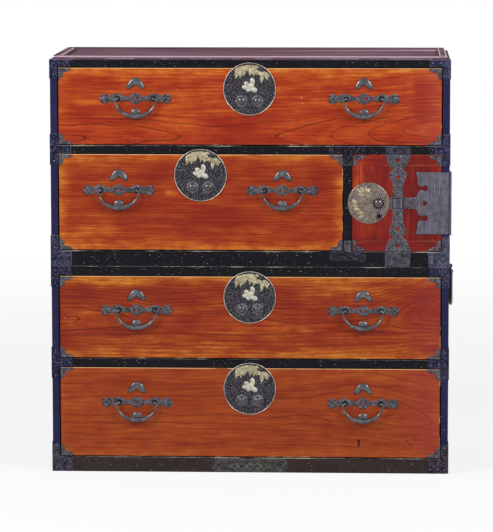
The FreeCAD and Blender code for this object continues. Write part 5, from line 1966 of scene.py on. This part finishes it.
@dataclass
class Studio:
    """Pale floor, soft lights and the camera, all placed in metres."""

    camera_place: Triple = (0.3799, -8.9239, 1.6924)
    camera_turn: Triple = (1.4438, 0.0010, 0.0445)
    lens: float = 215.095
    film: float = 36.0
    floor_reach: float = 9.0
    white_share: float = 0.8
    white_from: float = 1.5
    white_to: float = 5.0

    def build(self) -> None:
        """Build the floor, the lights, the world and the camera."""
        self.build_floor()
        self.build_world()
        self.add_light("key_left", (-3.0, -2.5, 3.1), 1.3, 110)
        self.add_light("key_right", (3.0, -2.5, 3.1), 1.3, 98)
        camera = bpy.data.objects.new("camera", bpy.data.cameras.new("camera"))
        camera.location = self.camera_place
        camera.rotation_euler = self.camera_turn
        camera.data.sensor_fit = "VERTICAL"
        camera.data.sensor_height = self.film
        camera.data.lens = self.lens
        bpy.context.scene.collection.objects.link(camera)
        bpy.context.scene.camera = camera
        bpy.context.scene.view_settings.view_transform = "Standard"

    def seen_share(self, tree: Tree) -> Socket:
        """One for rays from the camera, a mirror or glass, and nothing for others.

        Args:
            tree: node tree of the floor or the world.

        Returns:
            The share.
        """
        path = add_node(tree, "LightPath")
        seen = add_node(tree, "Math", {0: path.outputs["Is Camera Ray"], 1: path.outputs["Is Glossy Ray"]},
                        operation="MAXIMUM")
        return add_node(tree, "Math", {0: seen.outputs[0], 1: path.outputs["Is Transmission Ray"]},
                        operation="MAXIMUM").outputs[0]

    def build_floor(self) -> None:
        """Build the floor, part of whose white stands by itself in the view.

        That part grows to all of it far from the chest, so that the floor
        runs into the white surroundings without a line.
        """
        reach = self.floor_reach
        corners = [(-reach, -reach, 0), (reach, -reach, 0), (reach, reach, 0), (-reach, reach, 0)]
        mesh = bpy.data.meshes.new("studio_floor")
        mesh.from_pydata(corners, [], [(0, 1, 2, 3)])
        material = bpy.data.materials.new("studio_paper")
        material.use_nodes = True
        tree = material.node_tree
        tree.nodes.clear()
        paper = add_node(tree, "BsdfDiffuse", {"Color": linear("#fbfbfb")})
        white = add_node(tree, "Emission", {"Strength": 1.0})
        spot = add_node(tree, "TexCoord")
        away = add_node(tree, "VectorMath", {0: spot.outputs["Object"]}, operation="LENGTH")
        grown = add_node(tree, "MapRange", {0: away.outputs["Value"], 1: self.white_from, 2: self.white_to,
                                            3: self.white_share, 4: 1.0}, interpolation_type="SMOOTHSTEP")
        share = add_node(tree, "Math", {0: self.seen_share(tree), 1: grown.outputs[0]}, operation="MULTIPLY")
        mix = add_node(tree, "MixShader", {0: share.outputs[0], 1: paper.outputs[0], 2: white.outputs[0]})
        add_node(tree, "OutputMaterial", {"Surface": mix.outputs[0]})
        mesh.materials.append(material)
        floor = bpy.data.objects.new("studio_floor", mesh)
        bpy.context.scene.collection.objects.link(floor)

    def build_world(self) -> None:
        """Build the soft white surroundings."""
        world = bpy.data.worlds.new("studio_world")
        world.use_nodes = True
        tree = world.node_tree
        tree.nodes.clear()
        soft = add_node(tree, "Background", {"Color": (1, 1, 1, 1), "Strength": 0.29})
        white = add_node(tree, "Background", {"Color": (1, 1, 1, 1), "Strength": 1.0})
        mix = add_node(tree, "MixShader", {0: self.seen_share(tree), 1: soft.outputs[0],
                                           2: white.outputs[0]})
        add_node(tree, "OutputWorld", {"Surface": mix.outputs[0]})
        bpy.context.scene.world = world

    def add_light(self, name: str, place: Triple, size: float, power: float) -> None:
        """Add a square soft light that looks at the chest.

        Args:
            name: the light's name.
            place: where it hangs, in metres.
            size: length of its sides in metres.
            power: its power in watts.
        """
        lamp = bpy.data.lights.new(name, "AREA")
        lamp.size = size
        lamp.energy = power
        holder = bpy.data.objects.new(name, lamp)
        holder.location = place
        aim = np.array([0.0, 0.0, 0.6]) - np.array(place)
        level = np.hypot(aim[0], aim[1])
        holder.rotation_euler = (np.arctan2(level, -aim[2]), 0.0, np.arctan2(-aim[0], aim[1]))
        bpy.context.scene.collection.objects.link(holder)


def main() -> None:
    """Build the chest and its studio."""
    logging.basicConfig(level=logging.INFO, format="%(name)s: %(message)s")
    Studio().build()
    finishes = make_finishes()
    Carcass(finishes).build()
    CaseIrons(finishes).build()
    for number in ("one", "two", "three", "four"):
        Drawer(number, finishes).build()
    Door(finishes).build()
    bpy.context.view_layer.update()


if __name__ == "__main__":
    main()
